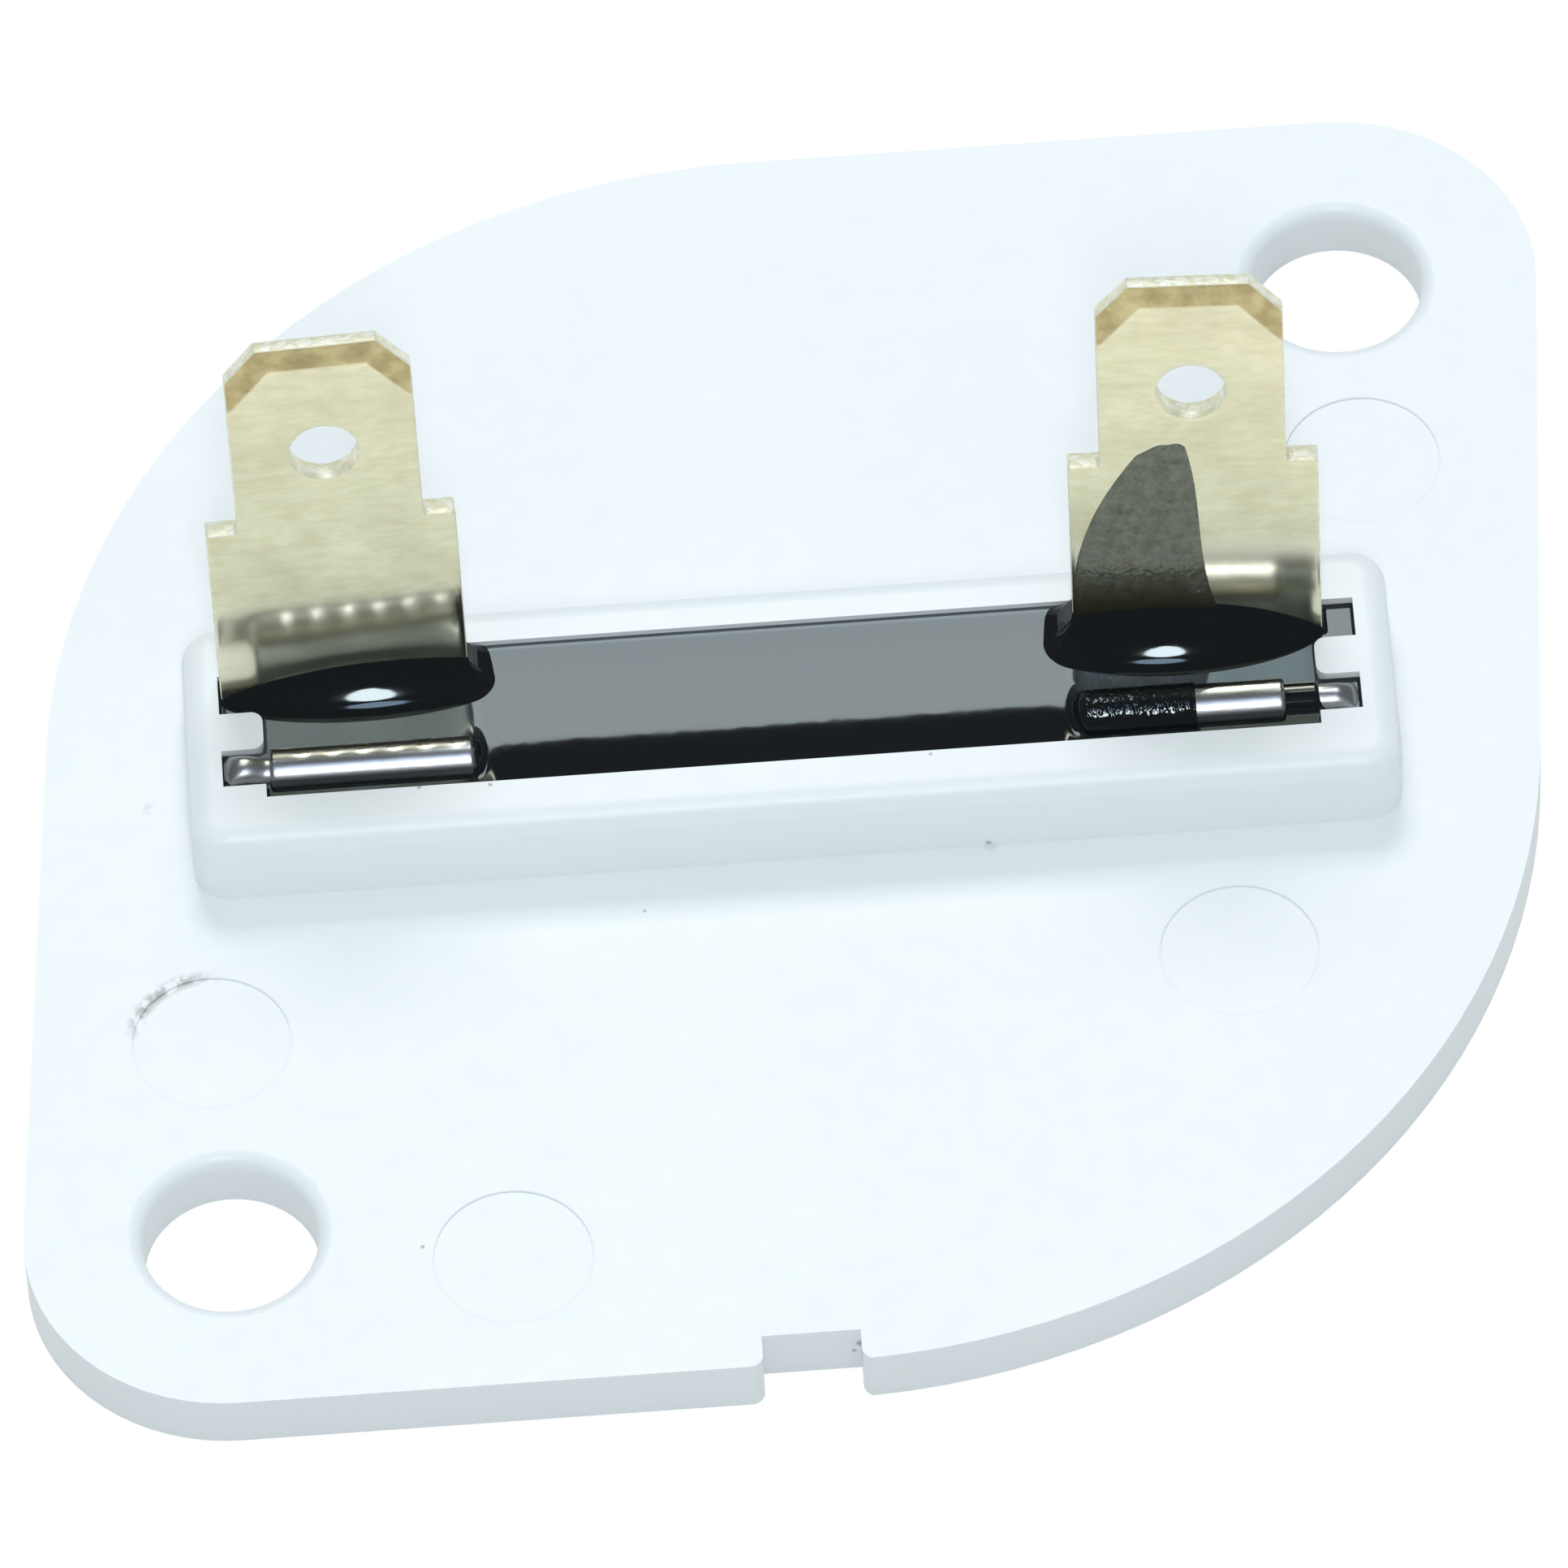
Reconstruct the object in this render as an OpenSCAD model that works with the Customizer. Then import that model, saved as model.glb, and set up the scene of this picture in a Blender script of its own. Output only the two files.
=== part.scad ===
// Thermal fuse on a moulded plate with two quick-connect tabs.
// Units are millimetres. The origin is the middle of the plate's underside, +Z is up.
// +X runs along the housing to the right tab, -Y is the side that the tabs face.

/* [Plate] */
// Radius of the round part of the plate
disc_r = 25.4; // [23:0.1:28]
// Radius of each ear
ear_r = 6.9; // [6:0.1:8]
// Distance from the middle to each mounting hole
hole_distance = 27.25; // [26:0.05:29]
// Thickness of the plate
plate_t = 2.2; // [1.8:0.1:3]
// Diameter of each mounting hole
hole_d = 5.9; // [4:0.1:6.5]
// Rounding of the plate's upper edges
plate_edge_r = 0.6; // [0.3:0.1:0.8]
// Rounding of the upper edge of each mounting hole
hole_edge_r = 0.5; // [0.2:0.1:0.8]
// Width of the gate notch at its inner edge
notch_w = 3.3; // [2:0.1:6]
// Depth of the gate notch
notch_depth = 1.2; // [0.6:0.1:1.6]
// Rounding of the notch's corners
notch_corner_r = 0.45; // [0.2:0.05:0.5]
// Middle of the gate notch along X
notch_x = -0.9; // [-4:0.1:-0.5]
// Radius of the ejector-pin marks
mark_r = 2.68; // [2:0.01:3]
// Depth of the ejector-pin marks
mark_depth = 0.06; // [0.03:0.01:0.2]

/* [Housing] */
// Wall between an end pocket and the housing's end
end_wall = 1.2; // [1:0.05:2]
// Width of the housing along Y
housing_w = 9.4; // [9.2:0.1:12]
// Height of the housing above the plate's underside
housing_top = 5.3; // [5:0.1:7]
// Rounding of the housing's upright corners
housing_corner_r = 1.2; // [0.8:0.1:2]
// Rounding of the housing's upper edges
housing_edge_r = 0.8; // [0.3:0.1:1]
// Length of the main trough
trough_l = 35.7; // [35.4:0.1:36]
// Width of the main trough
trough_w = 5.9; // [5.8:0.1:6]
// Middle of the main trough along Y
trough_y = 0.15; // [0.1:0.01:0.2]
// Height of the trough's floor above the underside
trough_floor = 0.8; // [0.6:0.1:0.9]
// Depth of the end pockets and slots beyond the trough
pocket_depth = 1.45; // [1.4:0.05:1.6]
// Middle of the rear pockets along Y
pocket_y = 1.6; // [1.55:0.01:1.65]
// Width of each rear pocket
pocket_w = 1.6; // [1.5:0.05:1.7]
// Height of the floor of each rear pocket
pocket_floor = 3.1; // [2.9:0.1:3.2]
// Width of each wire slot
slot_w = 1.5; // [1.4:0.05:1.6]

/* [Terminals] */
// Thickness of the strip
strip_t = 0.8; // [0.7:0.01:0.85]
// Width of each tab
tab_w = 6.3; // [6:0.05:6.4]
// Length of each tab above its shoulders
tab_l = 8; // [7.5:0.1:8.5]
// Width of the strip's straight edge beside the leg
edge_w = 1.5; // [1.3:0.05:1.6]
// Height of the shoulders above the housing's top, along the strip
shoulder_rise = 7.6; // [6:0.1:9]
// Diameter of the hole in each tab
tab_hole_d = 2.35; // [1.8:0.05:2.6]
// Distance from the shoulders up to the hole
tab_hole_rise = 3.3; // [3:0.1:4]
// Corner chamfer across each tab
tip_chamfer_w = 1.1; // [0.8:0.05:1.4]
// Corner chamfer along each tab
tip_chamfer_l = 1.3; // [0.8:0.05:1.6]
// Length of the bevels at each tip
tip_bevel_l = 0.85; // [0.4:0.05:1.2]
// Depth of the bevels at each tip
tip_bevel_t = 0.15; // [0.1:0.01:0.25]
// Backward lean of the tabs in degrees
lean_angle = 10; // [6:0.5:11]
// Small turn of each tab about the upright
toe_angle = 2.5; // [0:0.1:3]
// Front face of the strip along Y, at the housing's top
strip_face_y = 1.5; // [1.4:0.05:1.55]
// Gap between the left strip's outer edge and the end of its pocket
left_inset = 0.1; // [0.05:0.05:0.3]
// Gap between the right strip's outer edge and the end of its pocket
right_inset = 1.1; // [0.9:0.05:1.2]
// Length of each crimp barrel
barrel_l = 6.95; // [6.5:0.05:7]
// Wall thickness of each crimp barrel
barrel_wall = 0.28; // [0.2:0.01:0.35]
// Middle of the crimp barrels along Y
barrel_y = -1.5; // [-1.7:0.01:-1.4]
// Height of the middle of the crimp barrels
barrel_z = 4.85; // [4.6:0.01:4.95]

/* [Cutoff] */
// Outer diameter of the cutoff's case
case_d = 4; // [3.9:0.05:4.1]
// Length of the cutoff's case
case_l = 9.7; // [9.5:0.1:10.2]
// Wall thickness of the case
case_wall = 0.25; // [0.2:0.01:0.3]
// Diameter of the wires
wire_d = 1.1; // [1:0.01:1.14]
// Diameter of the wire of the main spring
main_wire_d = 0.35; // [0.3:0.01:0.4]
// Diameter of the wire of the trip spring
trip_wire_d = 0.26; // [0.2:0.01:0.3]

/* [Potting] */
// Depth of the potting's flat surface below the housing's top
potting_drop = 0.3; // [0.2:0.05:0.5]
// Rise and reach of the meniscus at each strip
meniscus_r = 1.2; // [0.9:0.05:1.25]

/* [Colours and view] */
// Colour of the moulded plastic
plastic_colour = "#eef4f8";
// Colour of the brass strips
brass_colour = "#d6d6ac";
// Colour of the epoxy
epoxy_colour = "#24272a";
// Colour of the tinned copper
tin_colour = "#b4b8bc";
// Colour of the ceramic
ceramic_colour = "#e4dfd2";
// Colour of the pellet
pellet_colour = "#b8442e";
// Which piece to build

/* [Hidden] */

// Facets of large rounds, of small rounds and of edge roundings
round_facets = 96;
small_facets = 32;
edge_facets = 16;
// How far a cutting body runs past the face it opens
over = 1;

ear_angle = asin((disc_r - ear_r) / hole_distance);
ear_run = hole_distance * cos(ear_angle);
// Direction in which an ear's far tangent edge faces
far_angle = 2 * ear_angle - 90;
hole_r = hole_d / 2;

// Ejector-pin marks: two on each side of the ear diagonal, one pair and one odd one
mark_far = 20.25;
mark_near = 10.6;
odd_mark_x = 14.5;
odd_mark_y = -9.75;
mark_places = [[-mark_far, -mark_near], [-mark_near, -mark_far], [mark_far, mark_near],
               [odd_mark_x, odd_mark_y]];

wire_r = wire_d / 2;
// Gap between the wire's cut end and the end of its slot
stub_gap = 0.05;
slot_floor = barrel_z - wire_r;
slot_y = barrel_y;
// Rounding of the lands between pocket and slot
land_r = 0.4;

pocket_l = trough_l + 2 * pocket_depth;
housing_l = pocket_l + 2 * end_wall;
trough_rear = trough_y + trough_w / 2;
potting_level = housing_top - potting_drop;

strip_w = edge_w + barrel_l;
left_outer_x = pocket_l / 2 - left_inset;
right_outer_x = pocket_l / 2 - right_inset;

leg_top = barrel_z - wire_r;
// Inner radius of the bend between leg and upright
bend_r = 0.4;
bend_z = leg_top + bend_r;
bend_y = ((bend_z - housing_top) * sin(lean_angle) - bend_r) / cos(lean_angle);
bend_rise = bend_y * sin(lean_angle) + (bend_z - housing_top) * cos(lean_angle);
// Gap left where the rolled end meets the leg
seam_gap = 0.12;
// Gap between the strip's lower corner and the pocket's floor
strip_gap = 0.05;

// Gap between the cutoff's case and the trough's floor
case_gap = 0.1;
case_z = trough_floor + case_gap + case_d / 2;
// Length of the end seal outside the case
seal_l = 2;
case_start = -(case_l + seal_l) / 2;
case_end = case_start + case_l;
bore_r = case_d / 2 - case_wall;
// Radius of the opening that the case's rolled lip leaves
lip_r = 1.5;
// Gap between the case's wall and the pieces that slide in it
slide_gap = 0.05;
// Head that holds the case lead in the closed end
rivet_r = 1;
rivet_t = 0.35;
pellet_l = 2.4;
disc_t = 0.2;
main_spring_l = 2.4;
main_spring_r = 1.2;
main_turns = 3;
star_t = 0.15;
star_cuts = 8;
star_cut_w = 0.3;
star_cut_depth = 0.7;
contact_head_r = 0.75;
contact_head_t = 0.4;
nose_r = 0.95;
trip_spring_l = 1.5;
trip_spring_r = 1.25;
trip_turns = 3;
// Radii of the end seal at the case and at its tip
seal_r1 = 1.8;
seal_r2 = 0.9;

pellet_x = case_start + case_wall + rivet_t;
disc_x = pellet_x + pellet_l;
main_spring_x = disc_x + disc_t;
spring_disc_x = main_spring_x + main_spring_l;
star_x = spring_disc_x + disc_t;
head_x = star_x + star_t;
nose_x = head_x + contact_head_t;
bushing_x = head_x + trip_spring_l;
bushing_end = case_end - case_wall;

// Straight lead outside the cutoff before it turns towards its barrel
lead_straight = 1.15;
// Distance from a barrel's inner end to the lead's turn in front of it
lead_turn_gap = 0.7;
// Swelling of a wire at its turns, as a share of its radius
knuckle_share = 1.08;

// The section that rounds an upper edge off: the edge at X = reach, the top at Y = t.
module edge_section(reach, t, e) {
    translate([reach - e, t - e]) difference() {
        square([e + over, e + over]);
        circle(r = e, $fn = edge_facets);
    }
}

// Rounds the upper edge of a straight side off, from X = 0 to length, at Y = reach.
module straight_edge_cut(reach, length, t, e) {
    rotate([90, 0, 90]) linear_extrude(height = length) edge_section(reach, t, e);
}

// Rounds the upper edge of a round side off, over an angle from +X.
module round_edge_cut(r, angle, t, e) {
    rotate_extrude(angle = angle, $fn = round_facets) edge_section(r, t, e);
}

// The plan of one ear with the two tangent edges that join it to the round part.
module ear_plan() {
    toward = [cos(far_angle), sin(far_angle)];
    centre = [ear_run, disc_r - ear_r];
    translate(centre) circle(r = ear_r, $fn = round_facets);
    polygon([[0, 0], [0, disc_r], [ear_run, disc_r], centre, centre + ear_r * toward,
             disc_r * toward]);
}

// Rounds the upper edge off along one half of the plate: a tangent, an ear, a tangent, an arc.
module plate_edge_cut() {
    straight_edge_cut(disc_r, ear_run, plate_t, plate_edge_r);
    translate([ear_run, disc_r - ear_r, 0]) rotate([0, 0, far_angle])
        round_edge_cut(ear_r, 90 - far_angle, plate_t, plate_edge_r);
    rotate([0, 0, ear_angle]) mirror([0, 1, 0]) rotate([0, 0, -ear_angle])
        straight_edge_cut(disc_r, ear_run, plate_t, plate_edge_r);
    rotate([0, 0, 90]) round_edge_cut(disc_r, far_angle + 90, plate_t, plate_edge_r);
}

// What a mounting hole takes away, with its rounded upper edge.
module hole_cut() {
    translate([0, 0, -over]) cylinder(r = hole_r, h = plate_t + 2 * over, $fn = round_facets);
    translate([0, 0, plate_t - hole_edge_r]) rotate_extrude($fn = round_facets) difference() {
        square([hole_r + hole_edge_r, hole_edge_r + over]);
        translate([hole_r + hole_edge_r, 0]) circle(r = hole_edge_r, $fn = edge_facets);
    }
}

// The piece between a square corner at the origin and the arc that rounds it off.
module corner_fill(r) {
    difference() {
        square([r, r]);
        translate([r, r]) circle(r = r, $fn = small_facets);
    }
}

// The notch with rounded outer corners, in plan, open towards -Y.
module notch_plan() {
    translate([-notch_w / 2, -over]) square([notch_w, notch_depth + over]);
    for (side = [0, 1]) mirror([side, 0])
        translate([notch_w / 2, 0]) corner_fill(notch_corner_r);
}

module plate() {
    difference() {
        linear_extrude(height = plate_t) union() {
            circle(r = disc_r, $fn = round_facets);
            for (turn = [0, 180]) rotate(turn) ear_plan();
        }
        for (turn = [0, 180]) rotate([0, 0, turn]) {
            plate_edge_cut();
            translate([ear_run, disc_r - ear_r, 0]) hole_cut();
        }
        translate([notch_x, -disc_r, -over]) linear_extrude(height = plate_t + 2 * over) notch_plan();
        for (place = mark_places) translate([place[0], place[1], plate_t - mark_depth])
            cylinder(r = mark_r, h = over, $fn = round_facets);
    }
}

// A block with rounded upright corners and rounded upper edges, centred on the axis.
module rounded_block(l, w, t, r, e) {
    difference() {
        linear_extrude(height = t) union() {
            square([l, w - 2 * r], center = true);
            square([l - 2 * r, w], center = true);
            for (x = [-1, 1], y = [-1, 1]) translate([x * (l / 2 - r), y * (w / 2 - r)])
                circle(r = r, $fn = small_facets);
        }
        for (side = [0, 180]) rotate([0, 0, side]) {
            translate([r - l / 2, 0, 0]) straight_edge_cut(w / 2, l - 2 * r, t, e);
            rotate([0, 0, 90]) translate([r - w / 2, 0, 0])
                straight_edge_cut(l / 2, w - 2 * r, t, e);
            translate([l / 2 - r, w / 2 - r, 0]) round_edge_cut(r, 90, t, e);
            translate([r - l / 2, w / 2 - r, 0]) rotate([0, 0, 90]) round_edge_cut(r, 90, t, e);
        }
    }
}

// A box from one end of the trough to the other, in the Y range of a pocket or slot.
module end_box(y, w, floor_z, roof_z) {
    translate([-pocket_l / 2, y - w / 2, floor_z]) cube([pocket_l, w, roof_z - floor_z]);
}

// Everything the trough, its pockets and its slots hold, up to a roof.
module trough_space(roof_z) {
    translate([-trough_l / 2, trough_rear - trough_w, trough_floor])
        cube([trough_l, trough_w, roof_z - trough_floor]);
    end_box(pocket_y, pocket_w, pocket_floor, roof_z);
    end_box(slot_y, slot_w, slot_floor, roof_z);
    for (side = [0, 1]) mirror([side, 0, 0]) {
        translate([trough_l / 2, pocket_y - pocket_w / 2, pocket_floor]) mirror([0, 1, 0])
            linear_extrude(height = roof_z - pocket_floor) corner_fill(land_r);
        translate([trough_l / 2, slot_y + slot_w / 2, slot_floor])
            linear_extrude(height = roof_z - slot_floor) corner_fill(land_r);
    }
}

module base() {
    color(plastic_colour) difference() {
        union() {
            plate();
            rounded_block(housing_l, housing_w, housing_top, housing_corner_r, housing_edge_r);
        }
        trough_space(housing_top + over);
    }
}

// The flat outline of a terminal above its bend: X from the outer edge, Y along the strip.
module strip_outline() {
    tip = shoulder_rise + tab_l;
    tab_x = (strip_w - tab_w) / 2;
    foot = (pocket_floor + strip_gap + strip_t * sin(lean_angle) - housing_top) / cos(lean_angle);
    difference() {
        union() {
            translate([0, foot]) square([edge_w, shoulder_rise - foot]);
            translate([edge_w, bend_rise]) square([barrel_l, shoulder_rise - bend_rise]);
            translate([tab_x, 0]) polygon([
                [0, 0], [tab_w, 0], [tab_w, tip - tip_chamfer_l], [tab_w - tip_chamfer_w, tip],
                [tip_chamfer_w, tip], [0, tip - tip_chamfer_l]]);
        }
        translate([strip_w / 2, shoulder_rise + tab_hole_rise])
            circle(d = tab_hole_d, $fn = small_facets);
    }
}

// The wedge that a bevel takes off one face, along an edge on the X axis, with the strip below it.
module bevel_cut(length) {
    translate([-length / 2, 0, 0]) rotate([90, 0, 90]) linear_extrude(height = length)
        polygon([[-tip_bevel_l, -strip_t], [-tip_bevel_l, 0], [0, tip_bevel_t],
                 [over, tip_bevel_t], [over, -strip_t]]);
}

// The bevels of one face: along the tip and along both chamfers.
module tip_bevels() {
    tip = shoulder_rise + tab_l;
    chamfer_angle = atan(tip_chamfer_l / tip_chamfer_w);
    translate([strip_w / 2, tip, 0]) bevel_cut(tab_w);
    for (side = [0, 1]) translate([strip_w / 2, 0, 0]) mirror([side, 0, 0])
        translate([tab_w / 2, tip - tip_chamfer_l, 0]) rotate([0, 0, -chamfer_angle])
            bevel_cut(tab_w);
}

// The flat part of a terminal, face at Z = 0 and its thickness downwards.
module flat_strip() {
    difference() {
        translate([0, 0, -strip_t]) linear_extrude(height = strip_t) strip_outline();
        mirror([0, 0, 1]) tip_bevels();
        translate([0, 0, -strip_t]) tip_bevels();
    }
}

// The bend at the foot and the rear of the leg, around the bend's axis.
module bend() {
    rotate([90, 0, 90]) linear_extrude(height = barrel_l) union() {
        intersection() {
            difference() {
                circle(r = bend_r + strip_t, $fn = small_facets);
                circle(r = bend_r, $fn = small_facets);
            }
            polygon([[0, 0], [0, -2 * strip_t - bend_r],
                     [2 * strip_t + bend_r, -2 * strip_t - bend_r],
                     [2 * strip_t + bend_r, -(2 * strip_t + bend_r) * tan(lean_angle)]]);
        }
        translate([-strip_t, -bend_r - strip_t]) square([strip_t, strip_t]);
    }
}

// The rolled barrel with its wire inside, along X from the leg's outer edge.
module barrel_rod(r, past) {
    translate([-past, barrel_y, barrel_z]) rotate([0, 90, 0])
        cylinder(r = r, h = barrel_l + 2 * past, $fn = small_facets);
}

// The flat strip and its bend, outer edge at X = 0 and width towards +X.
module strip_and_bend() {
    translate([strip_w / 2, strip_face_y, 0]) rotate([0, 0, toe_angle])
        translate([-strip_w / 2, 0, 0]) {
            translate([0, 0, housing_top]) rotate([90 - lean_angle, 0, 0]) flat_strip();
            translate([edge_w, bend_y, bend_z]) bend();
        }
}

// The leg under the barrel and the barrel without its bore.
module leg_and_barrel() {
    translate([edge_w, 0, 0]) {
        translate([0, barrel_y, leg_top - strip_t])
            cube([barrel_l, strip_face_y + bend_y - strip_t / 2 - barrel_y, strip_t]);
        barrel_rod(wire_r + barrel_wall, 0);
    }
}

// What a terminal's bore and the slit of its rolled end take away.
module bore_cut() {
    translate([edge_w, 0, 0]) {
        barrel_rod(wire_r, over);
        translate([-over, barrel_y, leg_top])
            cube([barrel_l + 2 * over, wire_r + barrel_wall + over, seam_gap]);
    }
}

module terminal() {
    strip_and_bend();
    difference() {
        leg_and_barrel();
        bore_cut();
    }
}

// Puts a terminal's shape at the left or the right end.
module at_left() {
    translate([-left_outer_x, 0, 0]) children();
}

module at_right() {
    mirror([1, 0, 0]) translate([-right_outer_x, 0, 0]) children();
}

module terminal_left() {
    color(brass_colour) at_left() terminal();
}

module terminal_right() {
    color(brass_colour) at_right() terminal();
}

// A straight piece of wire from one point to another.
module wire_run(start, finish) {
    step = finish - start;
    run = norm(step);
    translate(start) rotate([0, acos(step[2] / run), atan2(step[1], step[0])])
        cylinder(r = wire_r, h = run, $fn = small_facets);
}

// A wire through a list of points, with a slightly swollen knuckle at each turn.
module wire(points) {
    for (i = [1 : len(points) - 1]) wire_run(points[i - 1], points[i]);
    for (i = [1 : len(points) - 2]) translate(points[i])
        sphere(r = wire_r * knuckle_share, $fn = small_facets);
}

// The part of a lead outside the cutoff, towards +X, to the end of its slot.
module outer_lead(strip_outer_x) {
    start = -case_start;
    wire([
        [start, 0, case_z],
        [start + lead_straight, 0, case_z],
        [strip_outer_x - strip_w - lead_turn_gap, barrel_y, barrel_z],
        [pocket_l / 2 - stub_gap, barrel_y, barrel_z]]);
}

// A disc or cylinder on the cutoff's axis that starts at x.
module on_axis(x, r, l) {
    translate([x, 0, case_z]) rotate([0, 90, 0]) cylinder(r = r, h = l, $fn = small_facets);
}

module case_lead() {
    color(tin_colour) {
        mirror([1, 0, 0]) outer_lead(left_outer_x);
        on_axis(case_start, wire_r, case_wall);
        on_axis(case_start + case_wall, rivet_r, rivet_t);
    }
}

module isolated_lead() {
    color(tin_colour) {
        outer_lead(right_outer_x);
        on_axis(nose_x, wire_r, -case_start - nose_x);
        on_axis(head_x, contact_head_r, contact_head_t);
    }
}

module cutoff_case() {
    color(tin_colour) difference() {
        on_axis(case_start, case_d / 2, case_l);
        on_axis(case_start + case_wall, bore_r, case_l - 2 * case_wall);
        on_axis(case_start - over, wire_r, case_wall + 2 * over);
        on_axis(bushing_end - over, lip_r, case_wall + 2 * over);
    }
}

module thermal_pellet() {
    color(pellet_colour) on_axis(pellet_x, bore_r - slide_gap, pellet_l);
}

module pressure_disc() {
    color(brass_colour) on_axis(disc_x, bore_r - slide_gap, disc_t);
}

module spring_disc() {
    color(brass_colour) on_axis(spring_disc_x, bore_r - slide_gap, disc_t);
}

// A coil of tilted half turns along Z whose ends meet in line, with a knuckle at each meeting.
module coil(mean_r, wire_thick, turns, length) {
    rise = (length - wire_thick * knuckle_share) / (2 * turns);
    tilt = atan(rise / (2 * mean_r));
    ring_r = mean_r / cos(tilt);
    translate([0, 0, wire_thick * knuckle_share / 2]) {
        for (i = [0 : 2 * turns - 1]) translate([0, 0, (i + 0.5) * rise])
            rotate([0, 0, 180 * (i % 2)]) rotate([0, tilt, 0])
                rotate_extrude(angle = 180, $fn = small_facets)
                    translate([ring_r, 0]) circle(d = wire_thick, $fn = edge_facets);
        for (i = [0 : 2 * turns]) rotate([0, 0, 180 * (i % 2)]) translate([mean_r, 0, i * rise])
            sphere(d = wire_thick * knuckle_share, $fn = edge_facets);
    }
}

module main_spring() {
    color(tin_colour) translate([main_spring_x, 0, case_z]) rotate([0, 90, 0])
        coil(main_spring_r, main_wire_d, main_turns, main_spring_l);
}

module trip_spring() {
    color(tin_colour) translate([head_x, 0, case_z]) rotate([0, 90, 0])
        coil(trip_spring_r, trip_wire_d, trip_turns, trip_spring_l);
}

module star_contact() {
    color(brass_colour) difference() {
        on_axis(star_x, bore_r, star_t);
        for (i = [0 : star_cuts - 1]) translate([star_x - over, 0, case_z])
            rotate([i * 360 / star_cuts, 0, 0])
                translate([0, bore_r - star_cut_depth, -star_cut_w / 2])
                    cube([star_t + 2 * over, star_cut_depth + over, star_cut_w]);
    }
}

module ceramic_bushing() {
    color(ceramic_colour) difference() {
        union() {
            on_axis(nose_x, nose_r, bushing_x - nose_x);
            on_axis(bushing_x, bore_r, bushing_end - bushing_x);
        }
        on_axis(nose_x - over, wire_r, bushing_end - nose_x + 2 * over);
    }
}

module end_seal() {
    color(epoxy_colour) difference() {
        union() {
            on_axis(bushing_end, lip_r, case_wall);
            translate([case_end, 0, case_z]) rotate([0, 90, 0])
                cylinder(r1 = seal_r1, r2 = seal_r2, h = seal_l, $fn = small_facets);
        }
        on_axis(bushing_end - over, wire_r, case_wall + seal_l + 2 * over);
    }
}

// The room that the closed cutoff takes in the potting.
module cutoff_room() {
    on_axis(case_start, case_d / 2, case_l);
    translate([case_end, 0, case_z]) rotate([0, 90, 0])
        cylinder(r1 = seal_r1, r2 = seal_r2, h = seal_l, $fn = small_facets);
}

// The hollow-sided rise of the epoxy round the foot of one strip, towards +X.
module mound(strip_outer_x) {
    rear_r = trough_rear - strip_face_y - strip_t;
    inner_x = strip_outer_x - strip_w;
    flat_l = trough_l / 2 - meniscus_r - inner_x;
    translate([0, 0, potting_level]) intersection() {
        translate([inner_x - meniscus_r, 0, 0]) rotate([90, 0, 90])
            linear_extrude(height = flat_l + 2 * meniscus_r) translate([strip_face_y, 0]) {
                mirror([1, 0]) corner_fill(meniscus_r);
                square([strip_t, meniscus_r]);
                translate([strip_t, 0]) corner_fill(rear_r);
            }
        translate([inner_x, trough_rear, 0]) rotate([90, 0, 0])
            linear_extrude(height = trough_w) {
                mirror([1, 0]) corner_fill(meniscus_r);
                square([flat_l, meniscus_r]);
                translate([flat_l, 0]) corner_fill(meniscus_r);
            }
    }
}

// The wire and half of the barrel's wall round it, so that no film of epoxy is left between.
module bore_room() {
    translate([edge_w, 0, 0]) barrel_rod(wire_r + barrel_wall / 2, 0);
}

module potting() {
    color(epoxy_colour) difference() {
        union() {
            trough_space(potting_level);
            mirror([1, 0, 0]) mound(left_outer_x);
            mound(right_outer_x);
        }
        terminal_left();
        terminal_right();
        case_lead();
        isolated_lead();
        cutoff_room();
        at_left() bore_room();
        at_right() bore_room();
    }
}

base();
terminal_left();
terminal_right();
potting();
case_lead();
isolated_lead();
cutoff_case();
thermal_pellet();
pressure_disc();
spring_disc();
main_spring();
star_contact();
trip_spring();
ceramic_bushing();
end_seal();
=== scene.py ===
"""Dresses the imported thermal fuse: moulded plate, brass tabs, cast epoxy, crimped wires.

Lengths in the functions are millimetres in the part's own frame, and MM turns them into metres.
"""

import collections
import math

import bpy
import numpy as np
from mathutils import Matrix, Vector
from mathutils.geometry import delaunay_2d_cdt


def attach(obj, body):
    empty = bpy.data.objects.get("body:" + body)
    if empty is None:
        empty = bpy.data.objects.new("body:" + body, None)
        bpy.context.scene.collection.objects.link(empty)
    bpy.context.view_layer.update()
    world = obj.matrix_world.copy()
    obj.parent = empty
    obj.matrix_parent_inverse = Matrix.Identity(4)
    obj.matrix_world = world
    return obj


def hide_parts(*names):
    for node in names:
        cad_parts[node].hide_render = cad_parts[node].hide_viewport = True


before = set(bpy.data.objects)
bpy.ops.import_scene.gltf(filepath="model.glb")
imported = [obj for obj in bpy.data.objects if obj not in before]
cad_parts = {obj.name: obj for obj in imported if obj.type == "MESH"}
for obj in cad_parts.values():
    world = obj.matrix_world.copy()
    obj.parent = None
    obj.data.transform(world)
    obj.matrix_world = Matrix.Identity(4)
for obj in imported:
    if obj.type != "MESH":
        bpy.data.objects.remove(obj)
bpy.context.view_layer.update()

bl_info = {
    "name": "Thermal Fuse Dressing",
    "version": (1, 0, 0),
    "blender": (4, 5, 0),
    "location": "View3D > Sidebar > Fuse",
    "description": "Finishes and detail for a thermal fuse on a moulded plate",
    "category": "Object",
}

MM = 0.001

# The part's sizes in millimetres, as its source has them

HOUSING_TOP = 5.3
TROUGH_L = 35.7
TROUGH_FRONT = -2.8
TROUGH_REAR = 3.1
TROUGH_FLOOR = 0.8
POCKET_L = 38.6
POCKET_FRONT = 0.8
POCKET_REAR = 2.4
POCKET_FLOOR = 3.1
SLOT_FRONT = -2.25
SLOT_REAR = -0.75
SLOT_FLOOR = 4.3
LAND_R = 0.4

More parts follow.
